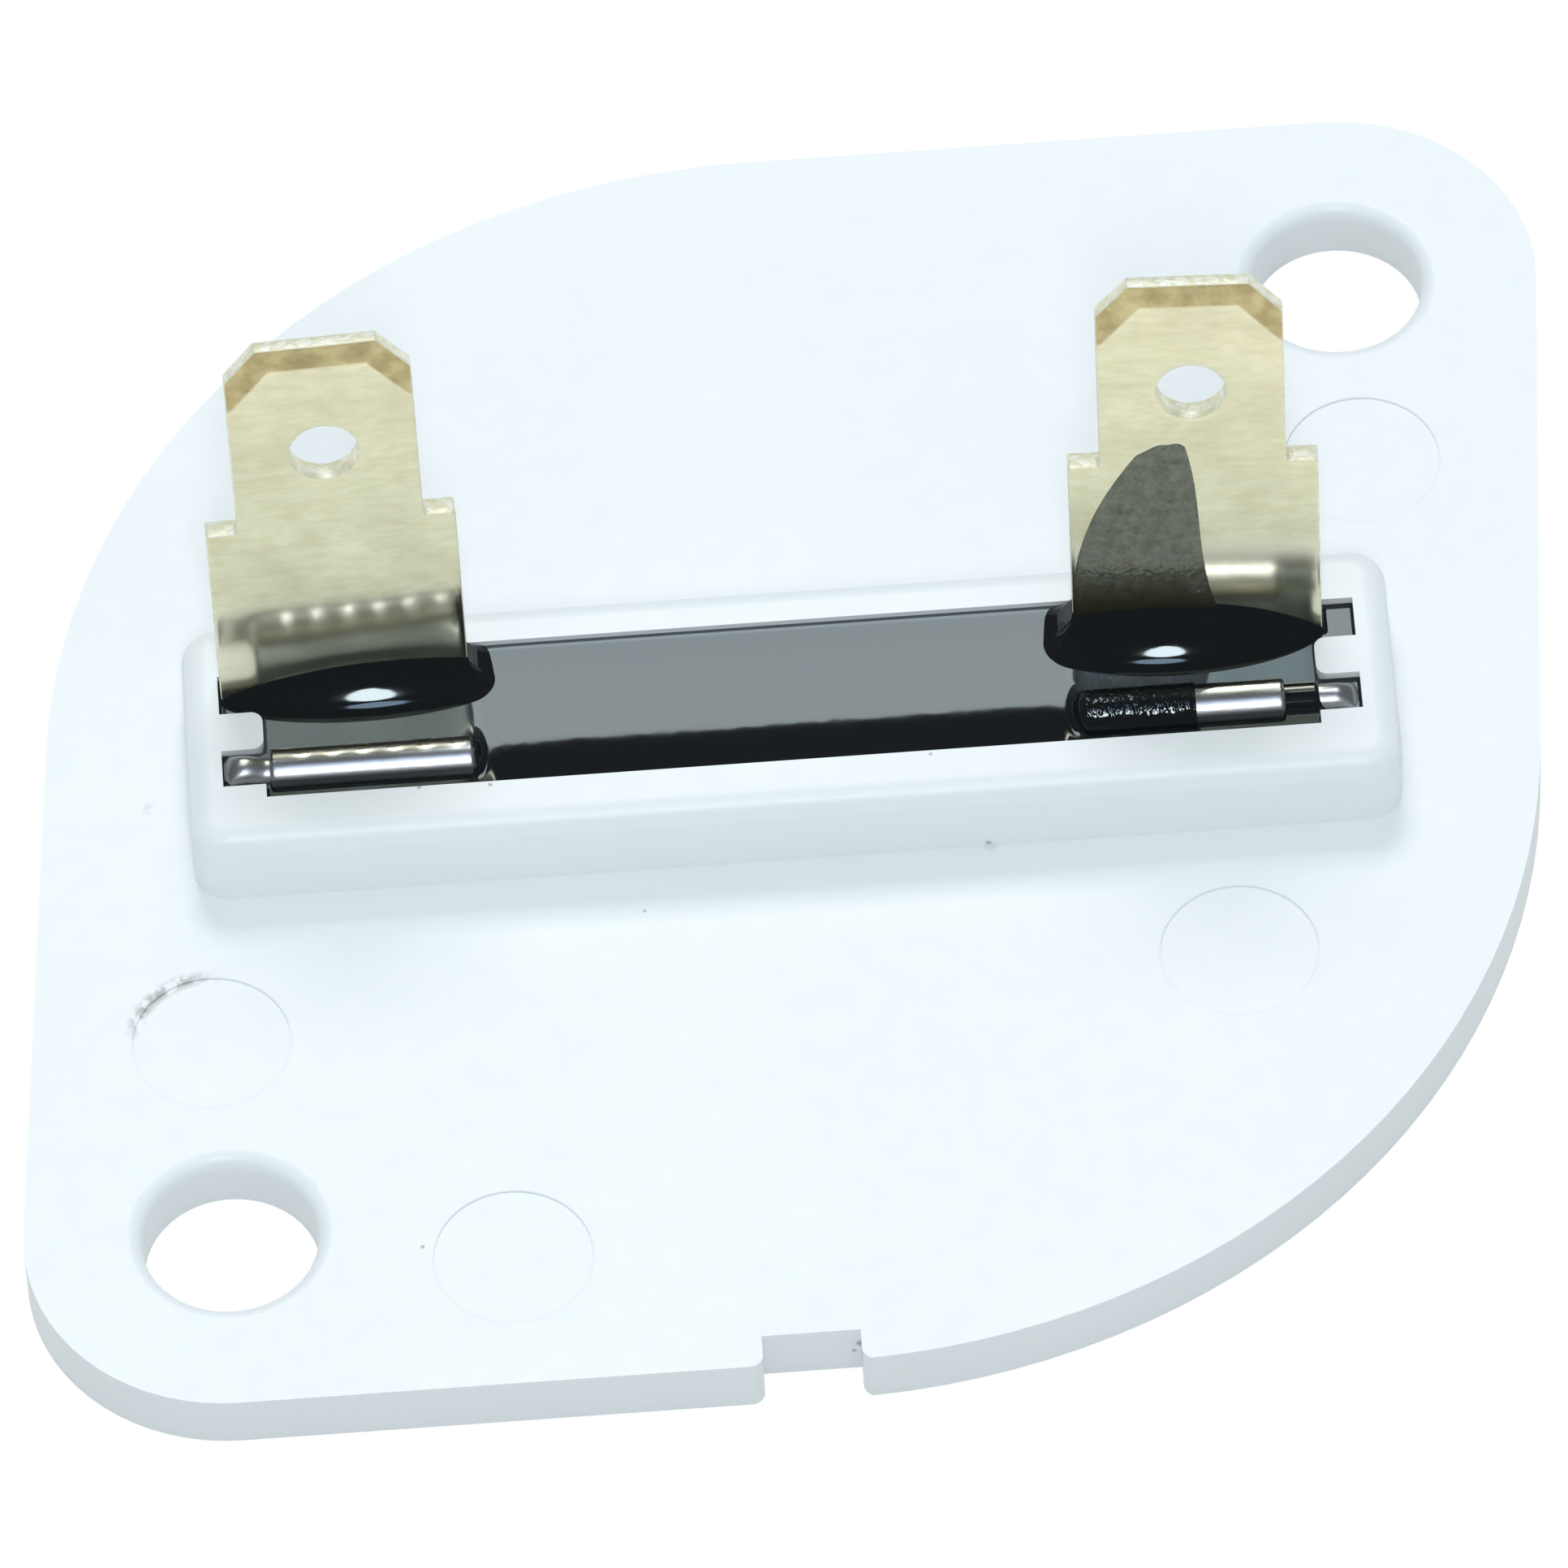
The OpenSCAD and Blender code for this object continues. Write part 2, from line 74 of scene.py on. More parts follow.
STRIP_T = 0.8
STRIP_W = 8.45
EDGE_W = 1.5
SHOULDER = 7.6
TAB_W = 6.3
TIP = 15.6
TAB_HOLE_R = 1.175
TAB_HOLE_RISE = 10.9
CHAMFER_W = 1.1
CHAMFER_L = 1.3
BEVEL_L = 0.85
BEVEL_T = 0.15
LEAN = math.radians(10)
TOE = math.radians(2.5)
FACE_Y = 1.5
FOOT = -2.04
BEND_R = 0.4

BARREL_L = 6.95
BARREL_R = 0.83
BARREL_Y = -1.5
BARREL_Z = 4.85
WIRE_R = 0.55
LEG_TOP = BARREL_Z - WIRE_R
BEND_Z = LEG_TOP + BEND_R
BEND_Y = FACE_Y + ((BEND_Z - HOUSING_TOP) * math.sin(LEAN) - BEND_R) / math.cos(LEAN)
BEND_RISE = (BEND_Y - FACE_Y) * math.sin(LEAN) + (BEND_Z - HOUSING_TOP) * math.cos(LEAN)

CUTOFF_Z = 2.9
CUTOFF_END = 5.85
LEAD_STRAIGHT = 1.15
STUB_END = POCKET_L / 2 - 0.05

# How far inside the barrel the lead comes level, the step of its path, how many steps its
# turns are rounded over, and the length that the cutter pinched
LEAD_TURN = 0.9
PATH_STEP = 0.09
TURN_STEPS = 9
PINCH_L = 0.75

# The blade's rounded corners, the steps of its outline and of its faces, the least gap
# between a face's points and its rim, and the height of its unevenness
CORNER_R = 0.11
OUTLINE_STEP = 0.2
HOLE_POINTS = 56
FACE_STEP = 0.19
RIM_GAP = 0.11
WAVE = 0.006

# The barrel's rounded ends, and the crimp's dents: count, first, pitch and width
BARREL_RIM = 0.14
DENTS = 6
DENT_X = 1.1
DENT_PITCH = 1.05
DENT_W = 0.34

# The two ends: the sign of their mirroring in X, their strip's outer edge, how much more
# upright the lower part of the strip stands, as a slope, the reach and the slope of the
# epoxy at the strip's foot, and the depth of the crimp's dents
End = collections.namedtuple("End", "name sign outer bow reach steep dent")
LEFT = End("left", 1, 19.2, 0.085, 0.88, 1.3, 0.02)
RIGHT = End("right", -1, 18.2, 0.015, 1.13, 1.38, 0.0)
BOW_TOP = 4.1
BOW_FOOT = 1.0
BOW_SOFT = 0.16

# The epoxy drawn up: the softness of a bead's foot, the middle and half length of its swell
# as shares of the front, the swell round the rest of the strip, how far the epoxy creeps up
# the front and rear walls and closes a barrel's end, and the radius of the right lead's coat
BEAD_SOFT = 0.24
BEAD_MIDDLE = 0.64
BEAD_HALF = 0.65
BEAD_ROUND = (0.6, 0.6, 0.2, 0.15, 0.07)
FRONT_CREEP = 0.22
REAR_CREEP = 0.08
BARREL_CLOSING = 0.44
COAT_R = 0.64

# The films: the smear's thickness, the end of the one on the right barrel and its thickness
SMEAR_T = 0.045
FILM_END = 13.7
FILM_T = 0.04


# Shader maths


class Level:
    """A number that changes over a surface. Its operators add Math nodes to its tree."""

    def __init__(self, tree, socket):
        self.tree = tree
        self.socket = socket

    def maths(self, operation, *others):
        return self.tree.level("ShaderNodeMath", {"operation": operation}, self, *others)

    def __add__(self, other):
        return self.maths("ADD", other)

    __radd__ = __add__

    def __sub__(self, other):
        return self.maths("SUBTRACT", other)

    def __rsub__(self, first):
        return self.tree.level("ShaderNodeMath", {"operation": "SUBTRACT"}, first, self)

    def __mul__(self, other):
        return self.maths("MULTIPLY", other)

    __rmul__ = __mul__

    def least(self, other):
        return self.maths("MINIMUM", other)

    def most(self, other):
        return self.maths("MAXIMUM", other)

    def size(self):
        return self.maths("ABSOLUTE")

    def step(self, low, high):
        """Rises smoothly from 0 at low to 1 at high, and falls where low is above high."""
        settings = {"interpolation_type": "SMOOTHSTEP"}
        if low > high:
            return 1 - self.step(high, low)
        return self.tree.level("ShaderNodeMapRange", settings, self, low, high)


class NodeTree:
    """The shader nodes of a material or of the world."""

    def __init__(self, owner):
        owner.use_nodes = True
        self.nodes = owner.node_tree.nodes
        self.links = owner.node_tree.links

    def put(self, target, value):
        """Puts a link, a Level, a colour or a number on a socket."""
        value = value.socket if isinstance(value, Level) else value
        if isinstance(value, bpy.types.NodeSocket):
            self.links.new(value, target)
        elif value is not None:
            target.default_value = (*value[:3], 1) if target.type == "RGBA" else value

    def node(self, kind, settings=None, *values, **named):
        """Any node: its settings first, then values or links for its sockets, by place or name."""
        made = self.nodes.new(kind)
        for key, value in (settings or {}).items():
            setattr(made, key, value)
        for key, value in list(enumerate(values)) + list(named.items()):
            self.put(made.inputs[key], value)
        return made

    def level(self, kind, settings, *values, **named):
        return Level(self, self.node(kind, settings, *values, **named).outputs[0])

    def rays(self, *kinds):
        """Levels that are 1 for each kind of ray: Camera, Glossy, Transmission."""
        seen = self.node("ShaderNodeLightPath")
        return [Level(self, seen.outputs[f"Is {kind} Ray"]) for kind in kinds]


class Paint(NodeTree):
    """A material with one Principled shader, patterned by Object coordinates in millimetres."""

    def __init__(self, name, **constants):
        self.material = bpy.data.materials.new(name)
        super().__init__(self.material)
        self.shader = self.nodes["Principled BSDF"]
        for socket, value in constants.items():
            self.feed(socket.replace("_", " "), value)
        where = self.node("ShaderNodeTexCoord").outputs["Object"]
        scaled = self.node("ShaderNodeVectorMath", {"operation": "SCALE"}, where, Scale=1 / MM)
        self.place = scaled.outputs[0]
        apart = self.node("ShaderNodeSeparateXYZ", {}, self.place)
        self.y = Level(self, apart.outputs["Y"])

    def noise(self, scale, detail=3.0, roughness=0.55, stretch=(1, 1, 1), shift=(0, 0, 0)):
        """Fractal noise from 0 to 1 with a given number of waves a millimetre."""
        where = self.node("ShaderNodeMapping", {}, self.place, shift, (0, 0, 0), stretch)
        return self.level("ShaderNodeTexNoise", {}, where.outputs[0], Scale=scale,
                          Detail=detail, Roughness=roughness)

    def vectors(self, operation, *values):
        return self.node("ShaderNodeVectorMath", {"operation": operation}, *values).outputs

    def distance(self, centre, squash=(1, 1, 1)):
        """Distance from a point in millimetres, with each axis stretched by its squash."""
        away = self.vectors("SUBTRACT", self.place, centre)[0]
        away = self.vectors("MULTIPLY", away, squash)[0]
        return Level(self, self.vectors("LENGTH", away)["Value"])

    def near(self, centre, radius, soft, squash=(1, 1, 1)):
        """1 inside a ball at a point, fading to 0 over a soft rim."""
        return self.distance(centre, squash).step(radius, radius - soft)

    def along(self, start, direction):
        """How far past a start point, in millimetres, measured in a direction."""
        away = self.vectors("SUBTRACT", self.place, start)[0]
        return Level(self, self.vectors("DOT_PRODUCT", away, direction)["Value"])

    def on_strip(self, end):
        """Levels across and up a leaning strip, as strip_place takes them."""
        start, across, up = (strip_place(end, *(float(v) for v in place))
                             for place in ((0, 0, 0), (1, 0, 0), (0, 1, 0)))
        return self.along(start, across - start), self.along(start, up - start)

    def attribute(self, name):
        """A level that the mesh carries at its points."""
        return Level(self, self.node("ShaderNodeAttribute", {"attribute_name": name}).outputs["Fac"])

    def mix(self, amount, first, second):
        """A colour between two, each a link or three numbers, by an amount from 0 to 1."""
        made = self.node("ShaderNodeMix", {"data_type": "RGBA"})
        for key, value in ((0, amount), (6, first), (7, second)):
            self.put(made.inputs[key], value)
        return made.outputs[2]

    def feed(self, socket, value):
        """Puts a link, a Level, a colour or a number on a socket of the shader."""
        self.put(self.shader.inputs[socket], value)

    def bump(self, height, depth):
        """Relief from a Level, whose full range stands for a depth in millimetres."""
        made = self.node("ShaderNodeBump", {}, Distance=depth * MM, Height=height)
        self.feed("Normal", made.outputs[0])


def srgb(red, green, blue):
    """Linear colour of a picture colour given from 0 to 255."""
    def part(value):
        value = value / 255
        return value / 12.92 if value <= 0.04045 else ((value + 0.055) / 1.055) ** 2.4
    return part(red), part(green), part(blue)


def shaded(colour, share):
    """A linear colour made darker or brighter by a factor."""
    return tuple(min(1, part * share) for part in colour)


# Places of marks and dirt in millimetres: centre, size, squash and strength

MARK_R = 2.68
MARKS = ((-20.25, -10.6, 2.2), (-10.6, -20.25, 2.2), (20.25, 10.6, 2.2), (14.5, -9.75, 2.2))
CRESCENT = (-22.0, -8.4, 2.2)
SMUDGES = (((20.6, -3.1, 4.6), 1.3, (3.0, 0.8, 1.2), 0.5),
           ((6.4, -4.7, 2.2), 0.5, (1, 1, 1), 0.2),
           ((-21.9, -0.7, 2.2), 0.35, (1, 1, 1), 0.5))
SPECKS = (((6.37, -4.75, 2.4), 0.16), ((0.72, -24.2, 1.4), 0.2), ((0.5, -24.2, 1.0), 0.12),
          ((-12.7, -2.85, 5.3), 0.1), ((-10.3, -2.95, 5.3), 0.1), ((-17.6, -2.6, 5.3), 0.12),
          ((4.6, -2.95, 5.3), 0.09), ((-13.6, -19.6, 2.2), 0.1), ((-5.4, -6.4, 2.2), 0.08))
DIRT = srgb(120, 128, 118)
# Painted reflection: a matte grey for flat epoxy where it would reflect light
PAINTED_SHEEN = srgb(74, 80, 84)
STREAK = srgb(206, 196, 138)
BEVEL = srgb(212, 201, 152)
BEVEL_BROWN = srgb(180, 164, 120)
# Cut edges: the torn metal's paler colour, with a painted highlight as well
TORN_AND_LIT = srgb(240, 234, 200)
TORN_AND_LIT_PALE = srgb(255, 254, 240)
# Painted reflection: pale colour for the strip's lower part
PAINTED_REFLECTION_PALE = srgb(250, 248, 238)
SMEAR = srgb(100, 103, 88)
SMEAR_PALE = srgb(132, 132, 116)
SMEAR_SPECK = srgb(62, 57, 46)
SMEAR_GOLD = srgb(150, 138, 88)
# Painted shade: dark colour for the smear near the strip's foot
SMEAR_PAINTED_SHADE = srgb(40, 38, 26)

# Finishes of the hidden pieces: nodes, two colours, roughness, metal, and waves of grain a
# millimetre

CUTOFF_FINISHES = (
    ("plated_case", ("cutoff_case",), (206, 208, 206), (168, 170, 170), 0.22, 1.0, 1.5),
    ("pellet", ("thermal_pellet",), (196, 84, 60), (150, 54, 40), 0.6, 0.0, 3.0),
    ("inner_brass", ("pressure_disc", "spring_disc"), (214, 196, 130), (180, 160, 96), 0.25, 1.0,
     2.0),
    ("spring_steel", ("main_spring", "trip_spring"), (186, 188, 190), (140, 142, 146), 0.2, 1.0,
     4.0),
    ("silver_contact", ("star_contact",), (236, 234, 226), (204, 200, 190), 0.18, 1.0, 2.0),
    ("bushing_ceramic", ("ceramic_bushing",), (236, 230, 216), (214, 204, 186), 0.5, 0.0, 2.0),
    ("seal_epoxy", ("end_seal",), (96, 62, 40), (64, 40, 28), 0.15, 0.0, 1.2),
)


# Sizes and colours that a user would change


class FusePlastic(bpy.types.PropertyGroup):
    colour: bpy.props.FloatVectorProperty(
        name="Plastic", description="Colour of the moulded plate", subtype="COLOR",
        default=srgb(246, 248, 250), min=0, max=1)
    dirt: bpy.props.FloatProperty(
        name="Dirt", description="How strongly the handling dirt shows", default=0.75,
        min=0, max=1, subtype="FACTOR")


class FuseMetal(bpy.types.PropertyGroup):
    brass: bpy.props.FloatVectorProperty(
        name="Brass", description="Colour of the strip's rolled faces", subtype="COLOR",
        default=srgb(250, 244, 210), min=0, max=1)
    tin: bpy.props.FloatVectorProperty(
        name="Tin", description="Colour of the tinned wires", subtype="COLOR",
        default=srgb(215, 220, 224), min=0, max=1)
    edge_r: bpy.props.FloatProperty(
        name="Edge rounding", description="Rounding of the stamped edges",
        default=0.05 * MM, unit="LENGTH")


class FuseEpoxy(bpy.types.PropertyGroup):
    colour: bpy.props.FloatVectorProperty(
        name="Epoxy", description="Colour of the cast epoxy", subtype="COLOR",
        default=srgb(20, 22, 23), min=0, max=1)
    level: bpy.props.FloatProperty(
        name="Level", description="Height of the epoxy's flat surface above the underside",
        default=5.0 * MM, unit="LENGTH")


class FuseStage(bpy.types.PropertyGroup):
    key_watts: bpy.props.FloatProperty(
        name="Key lamp", description="Power of the lamp beside the camera", default=0.63,
        unit="POWER")
    top_watts: bpy.props.FloatProperty(
        name="Top lamp", description="Power of the cool lamp above the key lamp", default=0.15,
        unit="POWER")
    panel_watts: bpy.props.FloatProperty(
        name="Rear panel", description="Power of the soft panel above and behind", default=0.78,
        unit="POWER")
    ambient: bpy.props.FloatProperty(
        name="Ambient", description="Level of the light from all round", default=0.65, min=0)


# The photograph's camera: millimetres in the part's frame, angles in degrees

LENS = 453.4
SENSOR = 36.0
CAMERA_TURN = -1.061
CAMERA_RISE = 53.528
CAMERA_ROLL = -3.16
CAMERA_SIDE = 0.349
CAMERA_LIFT = -0.083
CAMERA_FAR = 672.674

# The lamps: turn from the front and rise above the floor in degrees, width and height in
# millimetres, shape and colour

WHITE = (1, 1, 1)
LAMP_FAR = 600
LAMPS = (("key", 0, 52.5, 64, 180, "ELLIPSE", WHITE),
         ("top", 0, 72, 64, 150, "ELLIPSE", (0.65, 0.78, 1)),
         ("panel", 180, 57.6, 230, 175, "RECTANGLE", WHITE))
FLOOR_HALF = 2000
FLOOR_COLOUR = (0.6, 0.61, 0.6)
FLOOR_GLOW = 1.05
FLOOR_WHITE = 0.92
AMBIENT_COLOUR = (0.85, 0.97, 1)
DOME_COLOUR = (0.9, 0.95, 1)
DOME_GLOW = 0.12


def direction(turn, rise):
    """Unit vector towards a turn from the front and a rise above the floor, in degrees."""
    turn, rise = math.radians(turn), math.radians(rise)
    return Vector((math.sin(turn) * math.cos(rise), -math.cos(turn) * math.cos(rise),
                   math.sin(rise)))


def camera_axes():
    """Right, up and backward directions of the camera, from its turn, rise and roll."""
    turn, roll = math.radians(CAMERA_TURN), math.radians(CAMERA_ROLL)
    back = direction(CAMERA_TURN, CAMERA_RISE)
    right = Vector((math.cos(turn), math.sin(turn), 0))
    up = back.cross(right)
    rolled_right = math.cos(roll) * right + math.sin(roll) * up
    rolled_up = math.cos(roll) * up - math.sin(roll) * right
    return rolled_right, rolled_up, back


def camera_place():
    right, up, back = camera_axes()
    return back * CAMERA_FAR - right * CAMERA_SIDE - up * CAMERA_LIFT


def add_camera():
    data = bpy.data.cameras.new("camera")
    data.lens = LENS
    data.sensor_width = SENSOR
    data.clip_start = 0.01
    camera = bpy.data.objects.new("camera", data)
    bpy.context.scene.collection.objects.link(camera)
    turned = Matrix(camera_axes()).transposed().to_4x4()
    camera.matrix_world = Matrix.Translation(camera_place() * MM) @ turned
    bpy.context.scene.camera = camera


def add_lamp(name, turn, rise, width, height, shape, colour, watts):
    """An area lamp in a direction that faces the part."""
    place = direction(turn, rise) * LAMP_FAR
    data = bpy.data.lights.new(name, "AREA")
    data.shape = shape
    data.color = colour
    data.size = width * MM
    data.size_y = height * MM
    data.energy = watts
    lamp = bpy.data.objects.new(name, data)
    bpy.context.scene.collection.objects.link(lamp)
    aim = place.to_track_quat("Z", "Y").to_matrix().to_4x4()
    lamp.matrix_world = Matrix.Translation(place * MM) @ aim


def white_to_the_eye(material):
    """A pale floor that keeps a light shadow, and shows white to the camera and in metal."""
    tree = NodeTree(material)
    tree.nodes.clear()
    plain = tree.node("ShaderNodeBsdfDiffuse", {}, FLOOR_COLOUR)
    white = tree.node("ShaderNodeEmission", {}, Strength=FLOOR_GLOW)
    seen, mirrored_ray, through = tree.rays("Camera", "Glossy", "Transmission")
    share = FLOOR_WHITE * seen.most(mirrored_ray).most(through)
    mixed = tree.node("ShaderNodeMixShader", {}, share, plain.outputs[0], white.outputs[0])
    tree.node("ShaderNodeOutputMaterial", {}, mixed.outputs[0])


def light_the_world(ambient):
    """White behind the part, a dim dome in reflections, and plain ambient light."""
    world = bpy.data.worlds.new("studio")
    bpy.context.scene.world = world
    tree = NodeTree(world)
    tree.nodes.clear()
    light, dome, backdrop = (
        tree.node("ShaderNodeBackground", {}, colour, strength).outputs[0]
        for colour, strength in ((AMBIENT_COLOUR, ambient), (DOME_COLOUR, DOME_GLOW), (WHITE, 1)))
    seen, in_gloss = tree.rays("Camera", "Glossy")
    unseen = tree.node("ShaderNodeMixShader", {}, in_gloss, light, dome).outputs[0]
    shown = tree.node("ShaderNodeMixShader", {}, seen, unseen, backdrop).outputs[0]
    tree.node("ShaderNodeOutputWorld", {}, shown)


# Meshes


def as_list(faces):
    return faces if isinstance(faces, list) else faces.tolist()


def new_piece(name, points, faces, smooth=True, **levels):
    """A mesh object at the origin from points in millimetres, faces, and levels of its points."""
    mesh = bpy.data.meshes.new(name)
    mesh.from_pydata((np.asarray(points) * MM).tolist(), [], as_list(faces))
    mesh.polygons.foreach_set("use_smooth", np.full(len(mesh.polygons), smooth))
    for key, values in levels.items():
        mesh.attributes.new(key, "FLOAT", "POINT").data.foreach_set("value", values)
    mesh.update()
    piece = bpy.data.objects.new(name, mesh)
    bpy.context.scene.collection.objects.link(piece)
    return piece


def finish_piece(piece, paint, slot, *nodes):
    """Material, body and the nodes that the piece stands for. The slot is not used."""
    piece.data.materials.clear()
    piece.data.materials.append(paint.material)
    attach(piece, "root")
    if nodes:
        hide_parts(*nodes)


def paint_nodes(paint, *nodes):
    """Gives CAD nodes a material."""
    for node in nodes:
        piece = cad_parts[node]
        piece.data.materials.clear()
        piece.data.materials.append(paint.material)


def spaced(breaks, steps):
    """Coordinates through all the breaks, with about the given step in each stretch."""
    steps = np.broadcast_to(steps, len(breaks) - 1)
    runs = [np.linspace(a, b, max(1, round((b - a) / step)) + 1)[:-1]
            for a, b, step in zip(breaks, breaks[1:], steps)]
    return np.concatenate(runs + [np.array(breaks[-1:])])


def grid_faces(rows, columns, round_rows=False, round_columns=False):
    """Quads of a grid of points, row after row; a round grid also joins its last to its first."""
    row, column = np.meshgrid(np.arange(rows - 1 + round_rows),
                              np.arange(columns - 1 + round_columns), indexing="ij")
    right, below = (column + 1) % columns, (row + 1) % rows
    quads = [row * columns + column, row * columns + right, below * columns + right,
             below * columns + column]
    return np.stack(quads, -1).reshape(-1, 4)


def joined(*shells):
    """One mesh from several shells, each a pair of points and faces."""
    points, faces, start = [], [], 0
    for some_points, some_faces in shells:
        points.append(np.asarray(some_points))
        faces += [[start + i for i in face] for face in as_list(some_faces)]
        start += len(some_points)
    return np.concatenate(points), faces


def turned_round(faces):
    return [face[::-1] for face in as_list(faces)]


def mirrored(end, faces):
    """Faces turned round where an end's shape is mirrored, so that they point outwards."""
    return as_list(faces) if end.sign > 0 else turned_round(faces)


def rod_faces(rings, columns):
    """Faces of a closed rod of rings, whose last two points are the middles of its ends."""
    ring = np.arange(columns)
    ahead, last, middle = np.roll(ring, -1), (rings - 1) * columns, rings * columns
    first_end = np.stack([ahead, ring, np.full(columns, middle)], -1)
    last_end = np.stack([last + ring, last + ahead, np.full(columns, middle + 1)], -1)
    sides = grid_faces(rings, columns, round_columns=True)
    return sides.tolist() + first_end.tolist() + last_end.tolist()


def bell(value, middle, width):
    """1 at the middle, falling as the bell curve with a given width."""
    return np.exp(-((value - middle) / width) ** 2)


def swept(path, reach, around=28):
    """A closed rod: a ring round each point of the path, square to it, with its ends filled.

    Ring point = path + reach(share, turn) * (side * cos(turn) + up * sin(turn)), where the
    side is level and square to the path, and the share runs from 0 to 1 along it.
    """
    along = np.gradient(path, axis=0)
    along /= np.linalg.norm(along, axis=1, keepdims=True)
    side = np.cross(along, [0, 0, 1.0])
    side /= np.linalg.norm(side, axis=1, keepdims=True)
    up = np.cross(side, along)
    turn = np.linspace(0, 2 * math.pi, around, endpoint=False)
    share = np.linspace(0, 1, len(path))
    sideways, upwards = reach(share[:, None], turn[None])
    rings = path[:, None] + sideways[..., None] * side[:, None] + upwards[..., None] * up[:, None]
    points = np.concatenate([rings.reshape(-1, 3), path[:1], path[-1:]])
    return points, turned_round(rod_faces(len(path), around))


# Terminals


def strip_place(end, across, along, out):
    """Points on a leaning strip: across from its outer edge, up from the housing's top, and out.

    The strip leans back about X by LEAN, toes in about Z by TOE, and is mirrored at the right.
    """
    depth = along * math.sin(LEAN) - out * math.cos(LEAN)
    z = HOUSING_TOP + along * math.cos(LEAN) + out * math.sin(LEAN)
    turned = across - STRIP_W / 2
    x = STRIP_W / 2 - end.outer + turned * math.cos(TOE) - depth * math.sin(TOE)
    y = FACE_Y + turned * math.sin(TOE) + depth * math.cos(TOE)
    return np.stack([end.sign * x, y, z], -1)


def rounded_outline(corners, radius, step, arc_points=5):
    """A closed outline with an arc at each corner and points about a step apart between them.

    The arc starts radius * tan(turn / 2) before the corner, and turns round
    centre + radius * (direction * sin(angle) - inward * cos(angle)).
    """
    corners = np.asarray(corners, float)
    before = corners - np.roll(corners, 1, 0)
    before /= np.linalg.norm(before, axis=1, keepdims=True)
    after = np.roll(before, -1, 0)
    turn = np.arctan2(before[:, 0] * after[:, 1] - before[:, 1] * after[:, 0],
                      (before * after).sum(1))
    inward = np.stack([-before[:, 1], before[:, 0]], -1) * np.sign(turn)[:, None]
    start = corners - before * (radius * np.tan(np.abs(turn) / 2))[:, None]
    centre = start + radius * inward
    angle = (np.abs(turn)[:, None] * np.linspace(0, 1, arc_points))[..., None]
    arcs = centre[:, None] + radius * (before[:, None] * np.sin(angle)
                                       - inward[:, None] * np.cos(angle))
    runs = []
    for arc, following in zip(arcs, np.roll(arcs, -1, 0)):
        gap = following[0] - arc[-1]
        count = max(1, round(np.linalg.norm(gap) / step))
        runs += [arc, arc[-1] + gap * np.linspace(0, 1, count + 1)[1:-1, None]]
    return np.concatenate(runs)


def outward(loop):
    """Unit normals of a closed loop, to the right of its direction."""
    ahead = np.roll(loop, -1, 0) - loop
    ahead /= np.linalg.norm(ahead, axis=1, keepdims=True)
    along = ahead + np.roll(ahead, 1, 0)
    along /= np.linalg.norm(along, axis=1, keepdims=True)
    return np.stack([along[:, 1], -along[:, 0]], -1)


def inside_loop(points, loop):
    """Which points a closed loop holds: a ray from them crosses it an odd number of times."""
    a, b = loop[None], np.roll(loop, -1, 0)[None]
    x, y = points[:, None, 0], points[:, None, 1]
    spans = (a[..., 1] > y) != (b[..., 1] > y)
    rise = np.where(spans, b[..., 1] - a[..., 1], 1)
    crossing = a[..., 0] + (y - a[..., 1]) * (b[..., 0] - a[..., 0]) / rise
    return (spans & (x < crossing)).sum(1) % 2 == 1


def tip_distance(from_side, along):
    """Distances from the tip's edge and from a chamfer, as numbers, arrays or Levels."""
    slant = math.atan2(CHAMFER_L, CHAMFER_W)
    beside = (TIP - CHAMFER_L - along) * math.cos(slant)
    return TIP - along, from_side * math.sin(slant) + beside


def tip_bevel(across, along):
    """How far a face falls back near the tip: BEVEL_T at each edge, and 0 from BEVEL_L inwards."""
    nearest = np.minimum(*tip_distance(TAB_W / 2 - np.abs(across - STRIP_W / 2), along))
    fall = BEVEL_T * np.clip(1 - nearest / BEVEL_L, 0, 1)
    return np.where(along > SHOULDER + 2, fall, 0)


def strip_bow(end, along):
    """How far the strip's lower part lies behind its plane: bow times the length below a kink.

    The length is that between BOW_TOP and BOW_FOOT which lies above the point, with both
    ends of it softened by ln(1 + exp).
    """
    below_top = np.logaddexp(0, (BOW_TOP - along) / BOW_SOFT)
    below_foot = np.logaddexp(0, (BOW_FOOT - along) / BOW_SOFT)
    return -end.bow * BOW_SOFT * (below_top - below_foot)


def strip_wave(end, across, along):
    """The rolled strip's bow and its slow unevenness, a few hundredths of a millimetre."""
    wave = np.sin(1.1 * across + 0.7 * along + end.sign) * np.sin(0.5 * along - 0.8 * across)
    return WAVE * wave + strip_bow(end, along)


def strip_loops():
    """Closed loops of the strip's outline, round at its corners, and of the tab's hole."""
    tab = (STRIP_W - TAB_W) / 2
    corners = [(0, FOOT), (EDGE_W, FOOT), (EDGE_W, BEND_RISE), (STRIP_W, BEND_RISE),
               (STRIP_W, SHOULDER), (STRIP_W - tab, SHOULDER), (STRIP_W - tab, TIP - CHAMFER_L),
               (STRIP_W - tab - CHAMFER_W, TIP), (tab + CHAMFER_W, TIP), (tab, TIP - CHAMFER_L),
               (tab, SHOULDER), (0, SHOULDER)]
    turn = np.linspace(2 * math.pi, 0, HOLE_POINTS, endpoint=False)
    hole = np.stack([STRIP_W / 2 + TAB_HOLE_R * np.cos(turn),
                     TAB_HOLE_RISE + TAB_HOLE_R * np.sin(turn)], -1)
    return rounded_outline(corners, CORNER_R, OUTLINE_STEP), hole


